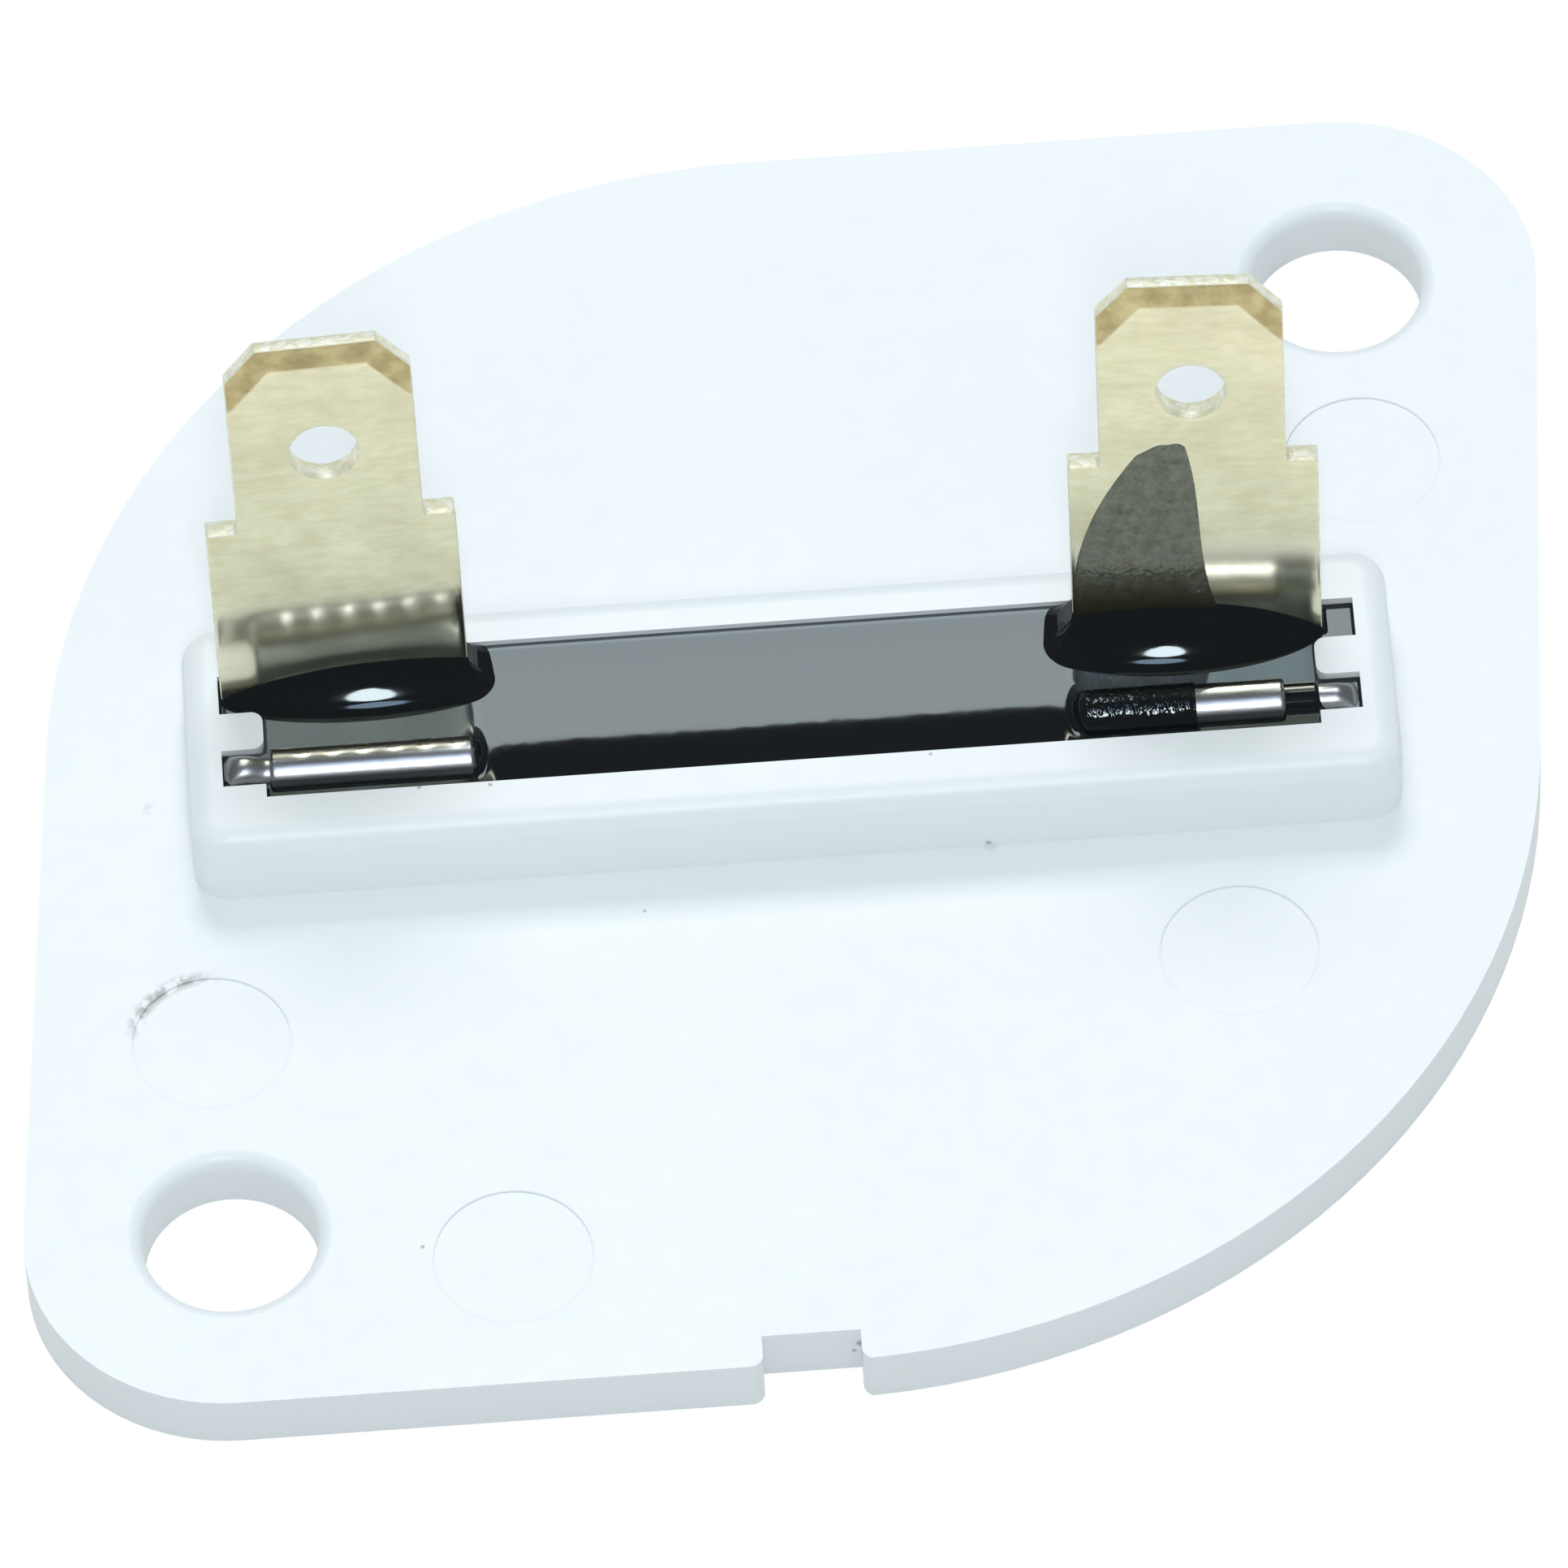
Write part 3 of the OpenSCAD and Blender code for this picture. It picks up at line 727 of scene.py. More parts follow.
def face_between(outline, hole):
    """A flat face with points all over: those of both loops come first, then a grid of points."""
    rim = np.concatenate([outline, hole])
    gx, gy = np.meshgrid(np.arange(0, STRIP_W, FACE_STEP), np.arange(FOOT, TIP, FACE_STEP))
    inner = np.stack([gx.ravel(), gy.ravel()], -1)
    gap = np.sqrt(((inner[:, None] - rim[None]) ** 2).sum(-1)).min(1)
    inner = inner[(gap > RIM_GAP) & inside_loop(inner, outline) & ~inside_loop(inner, hole)]
    flat = np.concatenate([rim, inner])
    here = np.arange(len(rim))
    ahead = np.concatenate([np.roll(here[:len(outline)], -1), np.roll(here[len(outline):], -1)])
    edges = np.stack([here, ahead], -1).tolist()
    result = delaunay_2d_cdt([Vector(p) for p in flat.tolist()], edges, [], 0, 1e-5)
    first_id = np.array([ids[0] for ids in result[3]])
    triangles = first_id[np.array(result[2])]
    middle = flat[triangles].mean(1)
    triangles = triangles[inside_loop(middle, outline) & ~inside_loop(middle, hole)]
    a, b, c = (flat[triangles[:, k]] for k in range(3))
    area = (b[:, 0] - a[:, 0]) * (c[:, 1] - a[:, 1]) - (b[:, 1] - a[:, 1]) * (c[:, 0] - a[:, 0])
    return flat, np.where(area[:, None] > 0, triangles, triangles[:, ::-1])


def flat_strip(end, edge_r):
    """The flat strip: two faces with points all over, joined by rounded edges.

    Both faces are triangulated between the outline and the hole. The edge between them is a
    quarter round of radius edge_r, a straight wall and another quarter round. A level of the
    points says which of them are on the cut edge.
    """
    rims = [(loop, outward(loop)) for loop in strip_loops()]
    face_loops = [loop - edge_r * normal for loop, normal in rims]
    flat, triangles = face_between(*face_loops)
    across, along = flat.T
    fall = tip_bevel(across, along)
    wave = strip_wave(end, across, along)
    count = len(flat)
    points = [strip_place(end, across, along, wave - fall),
              strip_place(end, across, along, wave + fall - STRIP_T)]
    faces = triangles.tolist() + (triangles[:, ::-1] + count).tolist()
    cut = [np.zeros(2 * count)]
    arc = np.linspace(0, math.pi / 2, 4)[1:]
    start, placed = 0, 2 * count
    for (loop, normal), face_loop in zip(rims, face_loops):
        n = len(loop)
        here = start + np.arange(n)
        top, bottom = (wave - fall)[here], (wave + fall - STRIP_T)[here]
        rows = [here]
        heights = [top - edge_r * (1 - math.cos(a)) for a in arc]
        reaches = [edge_r * math.sin(a) for a in arc]
        heights += [bottom + edge_r * (1 - math.cos(a)) for a in arc[::-1]]
        reaches += reaches[::-1]
        for height, reach in zip(heights, reaches):
            at = face_loop + reach * normal
            points.append(strip_place(end, at[:, 0], at[:, 1], height))
            rows.append(placed + np.arange(n))
            placed += n
            cut.append(np.ones(n))
        rows.append(here + count)
        rows = np.stack(rows)
        faces += rows.reshape(-1)[grid_faces(len(rows), n, round_columns=True)[:, ::-1]].tolist()
        start += n
    return np.concatenate(points), mirrored(end, faces), np.concatenate(cut)


def bend_and_leg(end):
    """The bend at the strip's foot and the leg under the barrel, hidden in the epoxy.

    The section is an inner and an outer arc about the bend's axis, each continued by the
    leg's upper and lower face. It is carried across, and turns with the strip at the bend.
    """
    turn = np.linspace(-LEAN, -math.pi / 2, 9)
    curves = []
    for radius in (BEND_R, BEND_R + STRIP_T):
        arc = np.stack([BEND_Y + radius * np.cos(turn), BEND_Z + radius * np.sin(turn)], -1)
        leg = np.array([[BARREL_Y, arc[-1, 1]]])
        curves.append(np.concatenate([arc, leg]))
    section = np.concatenate([curves[0], curves[1][::-1]])
    turned = np.clip((section[:, 0] - BARREL_Y) / (BEND_Y - BARREL_Y), 0, 1)
    across = np.linspace(EDGE_W, STRIP_W, 2)[:, None]
    x = across - end.outer + 0 * section[:, 0]
    y = section[:, 0] + turned * (across - STRIP_W / 2) * math.sin(TOE)
    z = section[:, 1] + 0 * across
    points = np.stack([end.sign * x, y, z], -1).reshape(-1, 3)
    n = len(section)
    half = n // 2
    i = np.arange(half - 1)
    cap = np.stack([i, i + 1, n - 2 - i, n - 1 - i], -1)
    sides = grid_faces(2, n, round_columns=True)
    faces = sides.tolist() + cap[:, ::-1].tolist() + (cap + n).tolist()
    return points, mirrored(end, faces)


def barrel(end):
    """The rolled barrel: a profile of its wall turned round the wire, with dents of the crimp.

    Wall radius = R - dents, where the dents are bells along X on the side towards the strip.
    Its painted glint, a painted highlight that the strip reflects, is 1 on that side in the dents,
    or all along where the crimp left none.
    """
    first, rim = EDGE_W - end.outer, BARREL_RIM
    last = first + BARREL_L
    arc = np.linspace(0, math.pi / 2, 6)
    wall = np.linspace(first + rim, last - rim, 70)[1:-1]
    x = np.concatenate([first + rim * (1 - np.cos(arc)), wall, last - rim * (1 - np.sin(arc)),
                        [last, first]])
    r = np.concatenate([BARREL_R - rim * (1 - np.sin(arc)), np.full(len(wall), BARREL_R),
                        BARREL_R - rim * (1 - np.cos(arc)), np.full(2, WIRE_R - 0.02)])
    turn = np.linspace(0, 2 * math.pi, 64, endpoint=False)
    px, pt = x[:, None] + 0 * turn, turn + 0 * x[:, None]
    dents = sum(bell(px - first, DENT_X + DENT_PITCH * k, DENT_W) for k in range(DENTS))
    toward_strip = bell(pt, 1.25, 0.35)
    reach = r[:, None] - np.where(r[:, None] > WIRE_R, end.dent * dents * toward_strip, 0)
    # Painted glint: a painted highlight in the dents, facing the strip; it also makes the tin
    # smoother there
    shine = bell(pt, 1.4, 0.26) * (np.clip(dents, 0, 1) ** 2 if end.dent else 1)
    points = np.stack([end.sign * px, BARREL_Y + reach * np.cos(pt),
                       BARREL_Z + reach * np.sin(pt)], -1)
    faces = grid_faces(len(x), len(turn), round_rows=True, round_columns=True)
    return points.reshape(-1, 3), mirrored(end, faces), shine.ravel()


# Leads


def lead_path(end, lift):
    """The lead's middle: level from the cutoff, up into the barrel, through it to the cut end.

    Straight runs are rounded by a moving average. The end outside the barrel is lifted a little.
    """
    inner = end.outer - STRIP_W + LEAD_TURN
    corners = np.array([[CUTOFF_END, 0, CUTOFF_Z], [CUTOFF_END + LEAD_STRAIGHT, 0, CUTOFF_Z],
                        [inner, BARREL_Y, BARREL_Z], [STUB_END, BARREL_Y, BARREL_Z]])
    length = np.concatenate([[0], np.cumsum(np.linalg.norm(np.diff(corners, axis=0), axis=1))])
    at = np.arange(0, length[-1], PATH_STEP)
    path = np.stack([np.interp(at, length, corners[:, k]) for k in range(3)], -1)
    padded = np.pad(path, ((TURN_STEPS // 2, TURN_STEPS // 2), (0, 0)), "edge")
    window = np.ones(TURN_STEPS) / TURN_STEPS
    smooth = np.stack([np.convolve(padded[:, k], window, "valid") for k in range(3)], -1)
    smooth[0], smooth[-1] = path[0], corners[-1]
    past = np.clip((smooth[:, 0] - (end.outer - EDGE_W) - 0.1) / 1.0, 0, 1)
    smooth[:, 2] += lift * past * past * (3 - 2 * past)
    smooth[:, 0] *= -end.sign
    return smooth


def lead(end, lift, pinch):
    """A tinned lead: a round rod whose last bit the cutter's jaws pinched to a wedge.

    Its half height shrinks and its half width grows as a smooth step near the cut end.
    """
    path = lead_path(end, lift)
    length = PATH_STEP * (len(path) - 1)

    def reach(share, turn):
        squeeze = np.clip(1 - (1 - share) * length / PINCH_L, 0, 1) ** 1.5
        pointed = np.clip((1 - share) * length / 0.05, 0.55, 1)
        wide = WIRE_R * (1 + 0.12 * squeeze) * pointed
        high = WIRE_R * (1 - pinch * squeeze) * pointed
        return wide * np.cos(turn), high * np.sin(turn)

    return swept(path, reach)


# Epoxy


def strip_bead(end, level):
    """The epoxy drawn up round a strip's foot: a closed shell of rings round its section.

    A ring's height over the level is steep * soft * ln(1 + exp((reach - distance) / soft)), a
    ramp with a rounded foot. Along the front the reach swells as (1 - ((across - middle) /
    half)^2)^0.75, and it shrinks at the sides and behind. A mark runs round the section: 0 to
    1 at the front, on to 2 round the first side, to 3 behind, and to 4 round the other side.
    """
    marks = (0, 1, 1.5, 1.7, 2, 3, 3.3, 3.6, 4)
    counts = (110, 24, 10, 14, 60, 10, 8, 10)
    mark = np.concatenate([np.linspace(a, b, count, endpoint=False)
                           for a, b, count in zip(marks, marks[1:], counts)])
    across = np.interp(mark, marks, STRIP_W * np.array([0, 1, 1, 1, 1, 0, 0, 0, 0]))
    depth = np.interp(mark, marks, STRIP_T * np.array([0, 0, 0, 1, 1, 1, 1, 0, 0]))
    turn = np.interp(mark, marks, math.pi / 2 * np.array([-1, -1, 0, 0, 1, 1, 2, 2, 3]))
    swell = np.clip(1 - ((mark - BEAD_MIDDLE) / BEAD_HALF) ** 2, 0.03, 1) ** 0.75
    beyond = [swell[mark <= 1][-1], *BEAD_ROUND, swell[0]]
    swell = np.where(mark <= 1, swell, np.interp(mark, [1, 1.5, 1.8, 2.2, 2.9, 3.3, 4], beyond))
    soft = BEAD_SOFT * np.sqrt(swell)
    reach = end.reach * swell
    away = np.linspace(1, 0, 34)[:, None] * (reach + 2.8 * soft)
    lift = end.steep * soft * np.logaddexp(0, (reach - away) / soft)
    lift = lift - lift[0] - 0.01
    away = np.concatenate([away[:1], away, np.full((1, len(mark)), -0.2)])
    z = level + np.concatenate([np.full((1, len(mark)), -0.3), lift, lift[-1:] + 0.2 * end.steep])
    up = (z - HOUSING_TOP) / math.cos(LEAN)
    beside = across + away * np.cos(turn)
    y = (FACE_Y + (beside - STRIP_W / 2) * math.sin(TOE) + up * math.sin(LEAN)
         - strip_bow(end, up) + depth / math.cos(LEAN) + away * np.sin(turn))
    rings = np.stack([end.sign * (beside - end.outer), y, z], -1)
    points = np.concatenate([rings.reshape(-1, 3), rings[[0, -1]].mean(1)])
    return points, mirrored(end, rod_faces(*z.shape))


def epoxy_height(x, y, level):
    """Height of the epoxy: its level and what the front wall and the leads draw up.

    At the front wall it rises as exp(-distance), at the rear it creeps up a little. It closes
    the inner end of each barrel, and coats the right lead from its barrel to its slot.
    """
    front = y - TROUGH_FRONT
    middle = 1 / (1 + np.exp((np.abs(x + 0.4) - 10.2) / 0.3))
    height = level + FRONT_CREEP * middle * np.exp(-front)
    height = height + REAR_CREEP * middle * np.exp((y - TROUGH_REAR) / 0.8)
    for end in (LEFT, RIGHT):
        across = end.outer + end.sign * x
        height = height + BARREL_CLOSING * bell(across, STRIP_W, 0.2) * bell(y, BARREL_Y, 0.6)
    coat = np.sqrt(np.clip(COAT_R ** 2 - (y - BARREL_Y) ** 2, 0, None)) + BARREL_Z - level
    coat = coat * np.clip((RIGHT.outer - x - 0.1) / 0.3, 0, 1) * (x > RIGHT.outer - EDGE_W - 0.5)
    return np.maximum(height, level + coat)


def block_between(bottom, top, inside):
    """A closed solid between two grids of points, in the cells of the grids that are inside."""
    rows, columns, _ = top.shape
    count = rows * columns
    points = np.concatenate([bottom.reshape(-1, 3), top.reshape(-1, 3)])
    row, column = np.nonzero(inside)
    first = row * columns + column
    quads = np.stack([first, first + 1, first + columns + 1, first + columns], -1)
    faces = [quads[:, ::-1], quads + count]
    padded = np.pad(inside, 1)
    for corner, (down, right) in enumerate(((-1, 0), (0, 1), (1, 0), (0, -1))):
        edge = ~padded[row + 1 + down, column + 1 + right]
        low, high = quads[edge, corner], quads[edge, (corner + 1) % 4]
        faces.append(np.stack([low, high, high + count, low + count], -1))
    used, renumbered = np.unique(np.concatenate(faces), return_inverse=True)
    return points[used], renumbered.reshape(-1, 4)


def epoxy_block(level):
    """The cast epoxy over the trough, its pockets and slots, from their floors to its surface."""
    half, far = TROUGH_L / 2, POCKET_L / 2
    x = spaced([-far, -half - LAND_R, -half, -12, -8.5, 7.5, 12, half - 1.6, half, half + LAND_R,
                far], [0.12, 0.08, 0.12, 0.08, 0.2, 0.08, 0.12, 0.07, 0.06, 0.12])
    y = spaced([TROUGH_FRONT, SLOT_FRONT, SLOT_REAR, 0, POCKET_FRONT, POCKET_REAR, 2.6,
                TROUGH_REAR], [0.08, 0.06, 0.08, 0.1, 0.12, 0.06, 0.05])
    px, py = np.meshgrid(x, y)
    cx, cy = np.meshgrid((x[1:] + x[:-1]) / 2, (y[1:] + y[:-1]) / 2)
    past = np.abs(cx) - half
    in_pocket = (cy > POCKET_FRONT) & (cy < POCKET_REAR)
    in_slot = (cy > SLOT_FRONT) & (cy < SLOT_REAR)
    inside = (past < 0) | in_pocket | in_slot
    bottom = np.where(np.abs(px) <= half, TROUGH_FLOOR, POCKET_FLOOR)
    bottom = np.where((py < 0) & (np.abs(px) > half), SLOT_FLOOR, bottom)
    floor, surface = (np.stack([px, py, z], -1) for z in (bottom, epoxy_height(px, py, level)))
    return block_between(floor, surface, inside)


def epoxy_painted_sheen(points, level):
    """Painted reflection on flat epoxy, a matte grey standing in for the light it reflects: behind
    the barrels, and in a line along the rear wall.
    """
    x, y, z = points.T
    flat = bell(z, level, 0.07) * np.clip((y - BARREL_Y) / 0.4, 0, 1) * (y < FACE_Y)
    haze = np.clip((y - TROUGH_REAR + 0.26) / 0.06, 0, 1)
    for end in (LEFT, RIGHT):
        across = end.outer + end.sign * x
        beside = np.minimum(across, STRIP_W + 0.4 - across)
        haze = np.maximum(haze, np.clip(beside / 0.8, 0, 1) * flat)
    return haze


def crystals(rng, u, v, size, height):
    """Grainy relief: the highest of many small round grains at random places over u and v."""
    rise = np.zeros(np.broadcast(u, v).shape)
    spots = rng.uniform([u.min(), v.min()], [u.max(), v.max()],
                        (int(1.1 * np.ptp(u) * np.ptp(v) / size ** 2), 2))
    for (a, b), share in zip(spots, rng.uniform(0.3, 1, len(spots))):
        rise = np.maximum(rise, share * height * np.exp(-((u - a) ** 2 + (v - b) ** 2) / size ** 2))
    return rise


def smear(rng):
    """The film that ran up the right strip: a thin closed patch, rounded at the top.

    Its two sides are curves of the height, and its thickness falls to nothing at all edges.
    """
    up = np.linspace(0, 1, 120)[:, None]
    span = np.linspace(0, 1, 70)[None]
    along = 0.7 + up * (7.72 + 0.85 * span - 1.12 * span ** 2 + 0.04 * np.sin(11 * span))
    above = np.clip(along - 1, 0, None)
    outer = 8.42 - 2.32 * (above / 7.15) ** 2.2
    inner = 3.55 + 0.6 * (1 - np.exp(-above / 2)) + 0.35 * np.clip((along - 4) / 4.45, 0, 1) ** 3
    across = inner + (outer - inner) * span
    edge = np.minimum(np.minimum(span, 1 - span) * 8, np.minimum(up, 1 - up) * 14)
    edge = np.clip(edge, 0, 1)
    thick = SMEAR_T * np.sqrt(edge)
    thick = thick + crystals(rng, across, along, 0.1, 0.13) * bell(along, 2.9, 0.4) * edge
    thick = thick + 0.012 * crystals(rng, across, along, 0.3, 1) * edge
    front = strip_place(RIGHT, across, along, thick)
    back = strip_place(RIGHT, across, along, np.full_like(across, -0.04))
    points, faces = block_between(back, front, np.ones(np.subtract(across.shape, 1), bool))
    return points, mirrored(RIGHT, faces)


def barrel_film(rng):
    """The grainy epoxy over the inner half of the right barrel: a closed sleeve.

    Sleeve radius = R + film + grains, and both ends close on the barrel as half circles.
    """
    first, last = RIGHT.outer - STRIP_W - 0.25, FILM_END
    x = np.linspace(first, last, 130)[:, None]
    turn = np.linspace(0, 2 * math.pi, 150, endpoint=False)[None]
    close = np.sqrt(np.clip(1 - np.clip(1 - (x - first) / 0.5, 0, 1) ** 2, 0, 1))
    shut = np.sqrt(np.clip((last - x + 0.15 * np.sin(3 * turn)) / 0.3, 0, 1))
    grains = crystals(rng, x + 0 * turn, BARREL_R * turn + 0 * x, 0.075, 0.04)
    reach = (BARREL_R + FILM_T) * close + (grains * bell(turn, 1.5, 0.8) * close + 0.02) * shut
    reach = np.where(x < last - 0.01, reach, BARREL_R - 0.1)
    reach = np.where(x > first + 0.01, reach, 0.02)
    points = np.stack([x + 0 * turn, BARREL_Y + reach * np.cos(turn),
                       BARREL_Z + reach * np.sin(turn)], -1).reshape(-1, 3)
    ends = np.array([[first, BARREL_Y, BARREL_Z], [last, BARREL_Y, BARREL_Z]])
    return np.concatenate([points, ends]), rod_faces(*reach.shape)


# Operators


def rolled_brass(end, metal):
    """Rolled brass, torn and painted pale as a highlight on the cut edges, darker and browner on the
    tip's bevels, paled low down as a painted reflection, with a tinned barrel that carries a painted
    highlight, painted glints and painted shade.
    """
    paint = Paint("rolled_brass_" + end.name)
    brass, tin = tuple(metal.brass), tuple(metal.tin)
    across, up = paint.on_strip(end)
    cloud = paint.noise(0.45, 4, 0.6).step(0.3, 0.7)
    streak = paint.noise(2.2, 5, 0.7, stretch=(0.45, 1, 1.7)).step(0.3, 0.75)
    colour = paint.mix(0.5 * cloud, brass, shaded(brass, 0.86))
    colour = paint.mix(0.35 * streak, colour, STREAK)
    to_tip, to_chamfer = tip_distance(TAB_W / 2 - (across - STRIP_W / 2).size(), up)
    nearest = to_chamfer.least(to_tip)
    bevel = nearest.step(BEVEL_L + 0.06, BEVEL_L - 0.06) * up.step(13, 13.3)
    bevel_mottle = paint.noise(1.3, 4).step(0.3, 0.7)
    # The tip's bevels: darker and browner, mottled
    colour = paint.mix(bevel, colour, paint.mix(bevel_mottle, BEVEL, BEVEL_BROWN))
    cut, shine = paint.attribute("cut"), paint.attribute("shine")
    torn = paint.noise(3.2, 4).step(0.35, 0.65)
    # Cut edges: the torn metal's own paler colour, painted near white as well, a painted highlight
    # of the light falling on them
    colour = paint.mix(cut, colour, paint.mix(torn, TORN_AND_LIT_PALE, TORN_AND_LIT))
    rolled = paint.y.step(0.6, 0.4)
    # Painted highlight and shade on the barrel: full tin along the band where the key's highlight
    # falls and in the painted glints, a darker copy elsewhere as painted shade
    painted_crown_highlight = paint.y.step(BARREL_Y - 0.72, BARREL_Y - 0.6) * paint.y.step(BARREL_Y, BARREL_Y - 0.2)
    tin_lit_and_shaded = paint.mix(painted_crown_highlight.most(shine), shaded(tin, 0.3), tin)
    colour = paint.mix(rolled, colour, tin_lit_and_shaded)
    low = up.step(4.7, 3.5)
    # Painted reflection: the strip's lower part is paled so that the barrel's reflections in it show
    # whiter
    colour = paint.mix(0.3 * low * (1 - rolled), colour, PAINTED_REFLECTION_PALE)
    rough = 0.26 + 0.1 * cloud
    rough = rough + low * (0.17 - rough)
    rough = rough + cut * (0.42 - rough)
    paint.feed("Base Color", colour)
    paint.feed("Metallic", 1 - 0.7 * cut)
    paint.feed("Roughness", rough + rolled * (0.31 - 0.17 * shine - rough))
    pits = paint.noise(2.5, 4, 0.7) * rolled
    paint.bump(0.25 * paint.noise(0.7, 1) + 0.7 * pits + 0.9 * cut * torn, 0.012)
    return paint


class FUSE_OT_stage(bpy.types.Operator):
    """Adds the floor, the lamps, the world and the photograph's camera"""

    bl_idname = "fuse.stage"
    bl_label = "Stage"

    def execute(self, context):
        stage = context.scene.fuse_stage
        add_camera()
        for lamp in LAMPS:
            add_lamp(*lamp, getattr(stage, lamp[0] + "_watts"))
        light_the_world(stage.ambient)
        corners = [(x * FLOOR_HALF, y * FLOOR_HALF, 0)
                   for x, y in ((-1, -1), (1, -1), (1, 1), (-1, 1))]
        floor = new_piece("floor", corners, [(0, 1, 2, 3)], smooth=False)
        material = bpy.data.materials.new("floor")
        white_to_the_eye(material)
        floor.data.materials.append(material)
        return {"FINISHED"}


class FUSE_OT_plate(bpy.types.Operator):
    """Finishes the moulded plate in glossy white plastic with ejector marks and handling dirt"""

    bl_idname = "fuse.plate"
    bl_label = "Moulded plate"

    def execute(self, context):
        plastic = context.scene.fuse_plastic
        paint = Paint("moulded_plastic", Roughness=0.34, IOR=1.5)
        white = tuple(plastic.colour)
        drift = paint.noise(0.07, 2).step(0.3, 0.7)
        colour = paint.mix(0.5 * drift, white, shaded(white, 0.97))
        for centre in MARKS:
            ring = (paint.distance(centre) - MARK_R).size().step(0.09, 0.02)
            colour = paint.mix(0.14 * ring, colour, shaded(white, 0.7))
        grime = paint.noise(1.7, 4).step(0.42, 0.62)
        for centre, size, squash, strength in SMUDGES:
            spot = paint.near(centre, size, size * 0.8, squash)
            colour = paint.mix(strength * plastic.dirt * spot * grime, colour, DIRT)
        crescent = (paint.distance(MARKS[0]) - MARK_R - 0.05).size().step(0.38, 0.05)
        crescent = crescent * paint.near(CRESCENT, 2.4, 1.6) * paint.noise(2.6, 4).step(0.4, 0.56)
        colour = paint.mix(0.8 * plastic.dirt * crescent, colour, DIRT)
        for centre, size in SPECKS:
            spot = paint.near(centre, size, size * 0.6)
            colour = paint.mix(0.8 * plastic.dirt * spot, colour, DIRT)
        paint.feed("Base Color", colour)
        paint.feed("Roughness", 0.3 + 0.12 * paint.noise(0.9, 4))
        paint.bump(paint.noise(0.25, 2) + 0.12 * paint.noise(5.0, 3), 0.03)
        paint_nodes(paint, "base")
        return {"FINISHED"}


class FUSE_OT_terminals(bpy.types.Operator):
    """Builds both terminals: a flat blade with its tab, the bend, the leg and the barrel"""

    bl_idname = "fuse.terminals"
    bl_label = "Terminals"

    def execute(self, context):
        metal = context.scene.fuse_metal
        for end in (LEFT, RIGHT):
            blade, blade_faces, cut = flat_strip(end, metal.edge_r / MM)
            *barrel_shell, shine = barrel(end)
            points, faces = joined((blade, blade_faces), bend_and_leg(end), barrel_shell)
            cut = np.concatenate([cut, np.zeros(len(points) - len(cut))])
            shine = np.concatenate([np.zeros(len(points) - len(shine)), shine])
            piece = new_piece("blade_" + end.name, points, faces, cut=cut, shine=shine)
            finish_piece(piece, rolled_brass(end, metal), "brass_strip", "terminal_" + end.name)
        return {"FINISHED"}


class FUSE_OT_leads(bpy.types.Operator):
    """Builds the two tinned leads with their pinched cut ends"""

    bl_idname = "fuse.leads"
    bl_label = "Leads"

    def execute(self, context):
        metal = context.scene.fuse_metal
        paint = Paint("tinned_wire", Metallic=1.0)
        tin = tuple(metal.tin)
        dull = paint.noise(2.4, 4).step(0.35, 0.7)
        paint.feed("Base Color", paint.mix(0.4 * dull, tin, shaded(tin, 0.7)))
        paint.feed("Roughness", 0.28 + 0.12 * paint.noise(6, 3))
        paint.bump(paint.noise(2.0, 3), 0.012)
        for end, lift, pinch, node in ((LEFT, 0.22, 0.5, "case_lead"),
                                       (RIGHT, 0.0, 0.62, "isolated_lead")):
            points, faces = lead(end, lift, pinch)
            piece = new_piece("lead_" + end.name, points, faces)
            finish_piece(piece, paint, "tinned_copper", node)
        return {"FINISHED"}


class FUSE_OT_epoxy(bpy.types.Operator):
    """Builds the cast epoxy, with what it draws up round the strips, and its smears"""

    bl_idname = "fuse.epoxy"
    bl_label = "Cast epoxy"

    def execute(self, context):
        epoxy = context.scene.fuse_epoxy
        rng = np.random.default_rng(7)
        black = tuple(epoxy.colour)
        paint = Paint("cast_epoxy", IOR=1.52, Specular_Tint=(0.8, 0.95, 1, 1))
        dust = paint.noise(7, 2).step(0.72, 0.8)
        colour = paint.mix(0.25 * dust, black, shaded(black, 4))
        # Painted reflection: matte grey on flat epoxy behind the barrels and along the rear wall
        paint.feed("Base Color", paint.mix(paint.attribute("haze"), colour, PAINTED_SHEEN))
        paint.feed("Roughness", 0.05 + 0.12 * dust)
        paint.bump(paint.noise(0.6, 2), 0.004)
        block = epoxy_block(epoxy.level / MM)
        beads = [strip_bead(end, epoxy.level / MM) for end in (LEFT, RIGHT)]
        points, faces = joined(block, *beads, barrel_film(rng))
        haze = epoxy_painted_sheen(block[0], epoxy.level / MM)
        haze = np.concatenate([haze, np.zeros(len(points) - len(haze))])
        piece = new_piece("cast_epoxy", points, faces, haze=haze)
        finish_piece(piece, paint, "epoxy", "potting")

        film = Paint("epoxy_smear", IOR=1.52)
        up = film.on_strip(RIGHT)[1]
        blotch = film.noise(2.2, 5, 0.65).step(0.3, 0.75)
        speck = film.noise(4.5, 4, 0.7).step(0.56, 0.7)
        golden = film.noise(3.6, 4, 0.7, shift=(9, 0, 0)).step(0.58, 0.72)
        colour = film.mix(blotch, SMEAR, SMEAR_PALE)
        colour = film.mix(0.7 * speck, colour, SMEAR_SPECK)
        colour = film.mix(golden * up.step(5.6, 3.4), colour, SMEAR_GOLD)
        # Painted shade: the smear darkens towards the strip's foot, standing in for the dark epoxy
        # that the brass under it reflects
        film.feed("Base Color", film.mix(up.step(4.4, 0.8), colour, SMEAR_PAINTED_SHADE))
        film.feed("Roughness", 0.5 - 0.4 * up.step(4.3, 3.5))
        film.bump(film.noise(4.0, 4), 0.02)
        points, faces = smear(rng)
        finish_piece(new_piece("epoxy_smear", points, faces), film, "epoxy")
        return {"FINISHED"}


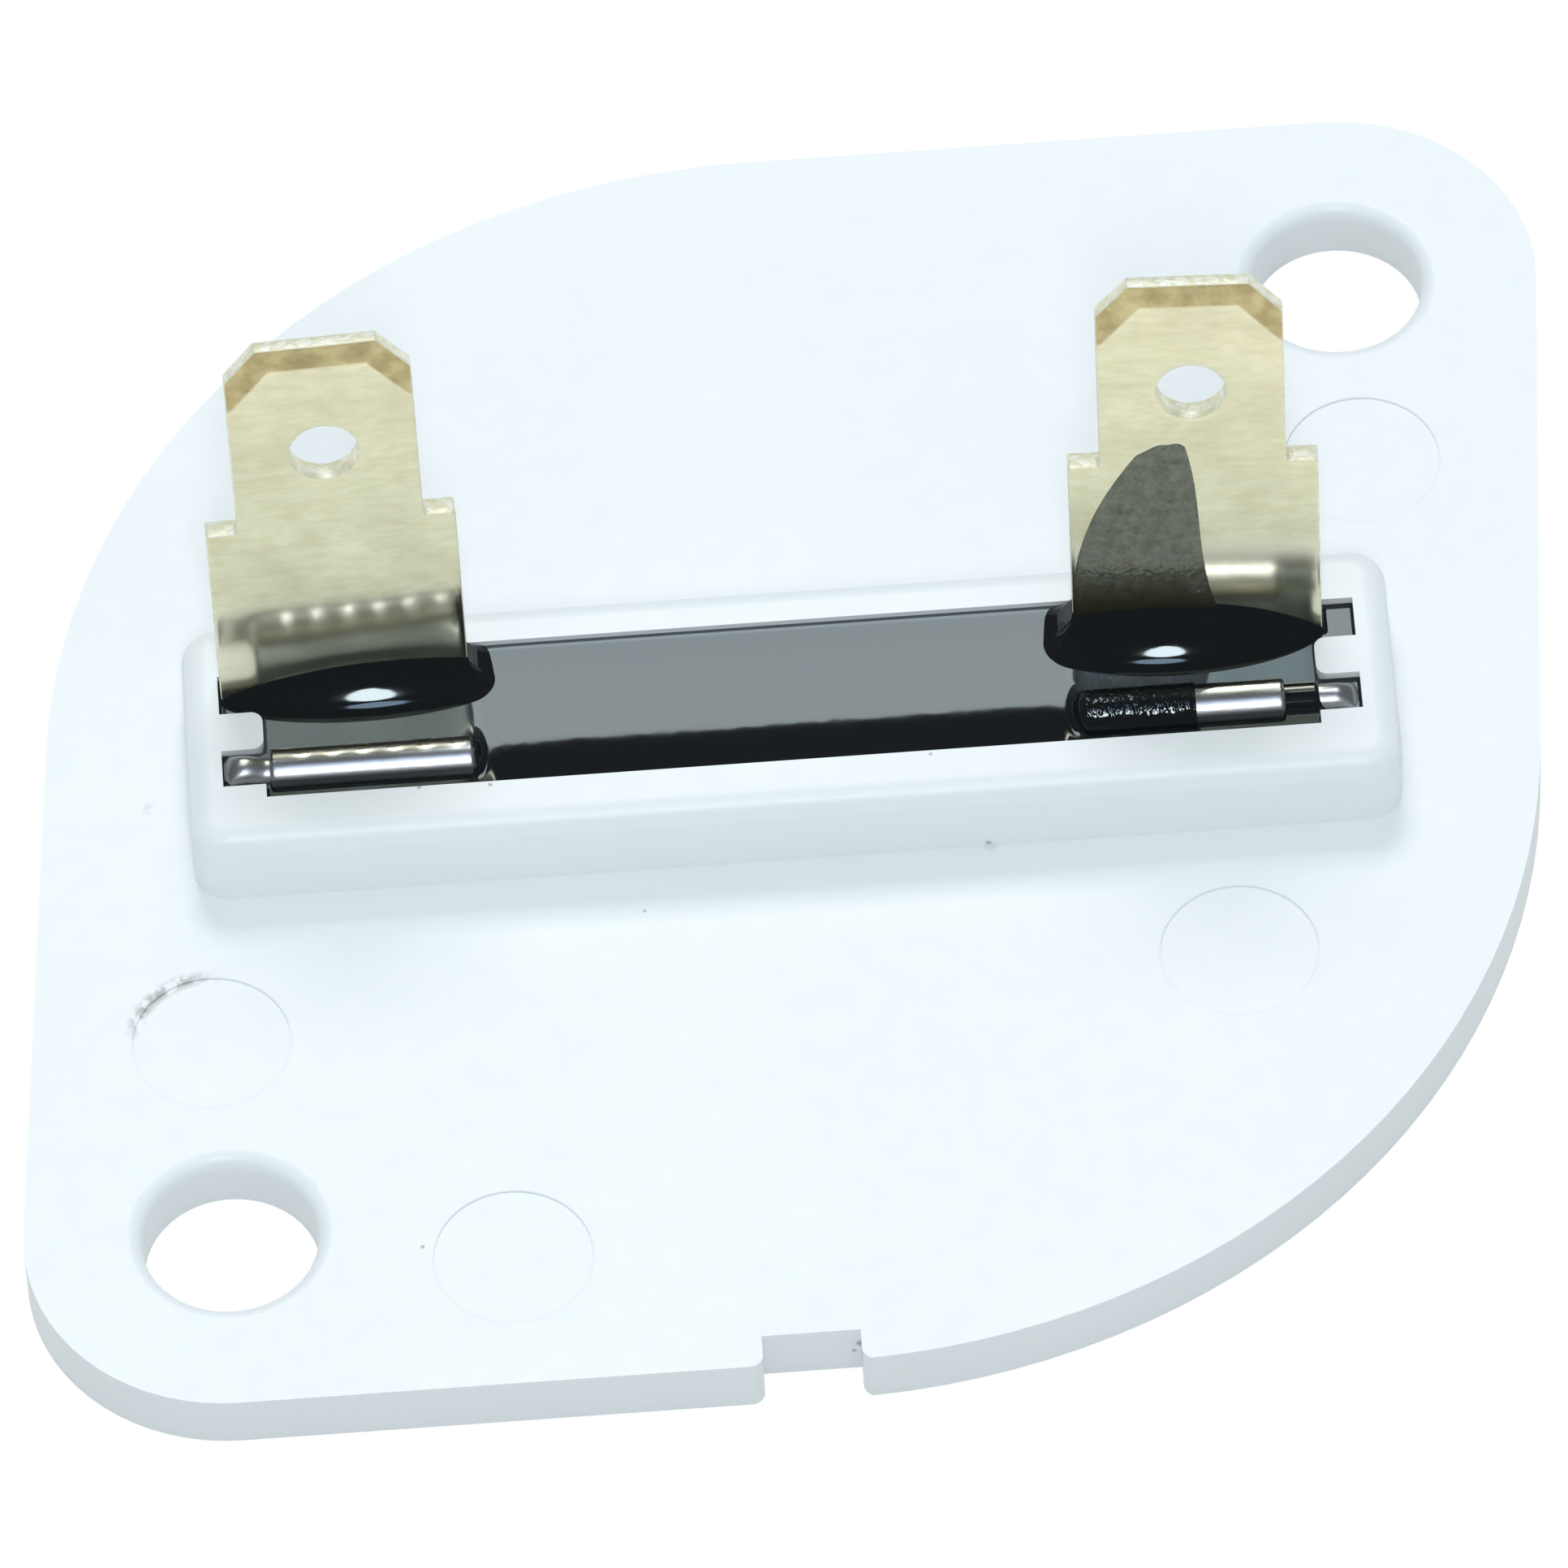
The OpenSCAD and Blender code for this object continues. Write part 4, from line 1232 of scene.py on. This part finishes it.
class FUSE_OT_cutoff(bpy.types.Operator):
    """Finishes the pieces of the thermal cutoff that the epoxy hides"""

    bl_idname = "fuse.cutoff"
    bl_label = "Thermal cutoff"

    def execute(self, context):
        for name, nodes, colour, darker, roughness, metallic, grain in CUTOFF_FINISHES:
            paint = Paint(name, Metallic=metallic)
            mottled = paint.mix(paint.noise(grain, 4), srgb(*colour), srgb(*darker))
            paint.feed("Base Color", mottled)
            paint.feed("Roughness", roughness + 0.15 * paint.noise(2 * grain, 3))
            paint.bump(paint.noise(3 * grain, 3), 0.01)
            paint_nodes(paint, *nodes)
        return {"FINISHED"}


# Panel and registration


GROUPS = (FusePlastic, FuseMetal, FuseEpoxy, FuseStage)
OPERATORS = (FUSE_OT_stage, FUSE_OT_plate, FUSE_OT_terminals, FUSE_OT_leads, FUSE_OT_epoxy,
             FUSE_OT_cutoff)
SETTINGS = {"fuse_plastic": FusePlastic, "fuse_metal": FuseMetal, "fuse_epoxy": FuseEpoxy,
            "fuse_stage": FuseStage}


class FUSE_PT_panel(bpy.types.Panel):
    """Lists the settings and the operators"""

    bl_idname = "FUSE_PT_panel"
    bl_label = "Thermal fuse"
    bl_space_type = "VIEW_3D"
    bl_region_type = "UI"
    bl_category = "Fuse"

    def draw(self, context):
        for name, group in SETTINGS.items():
            for key in group.__annotations__:
                self.layout.prop(getattr(context.scene, name), key)
        for operator in OPERATORS:
            self.layout.operator(operator.bl_idname)


def register():
    for group in GROUPS + OPERATORS + (FUSE_PT_panel,):
        bpy.utils.register_class(group)
    for name, group in SETTINGS.items():
        setattr(bpy.types.Scene, name, bpy.props.PointerProperty(type=group))


def unregister():
    for name in SETTINGS:
        delattr(bpy.types.Scene, name)
    for group in reversed(GROUPS + OPERATORS + (FUSE_PT_panel,)):
        bpy.utils.unregister_class(group)


def main():
    register()
    bpy.context.scene.view_settings.view_transform = "Standard"
    bpy.ops.fuse.stage()
    bpy.ops.fuse.plate()
    bpy.ops.fuse.terminals()
    bpy.ops.fuse.leads()
    bpy.ops.fuse.epoxy()
    bpy.ops.fuse.cutoff()


if __name__ == "__main__":
    main()
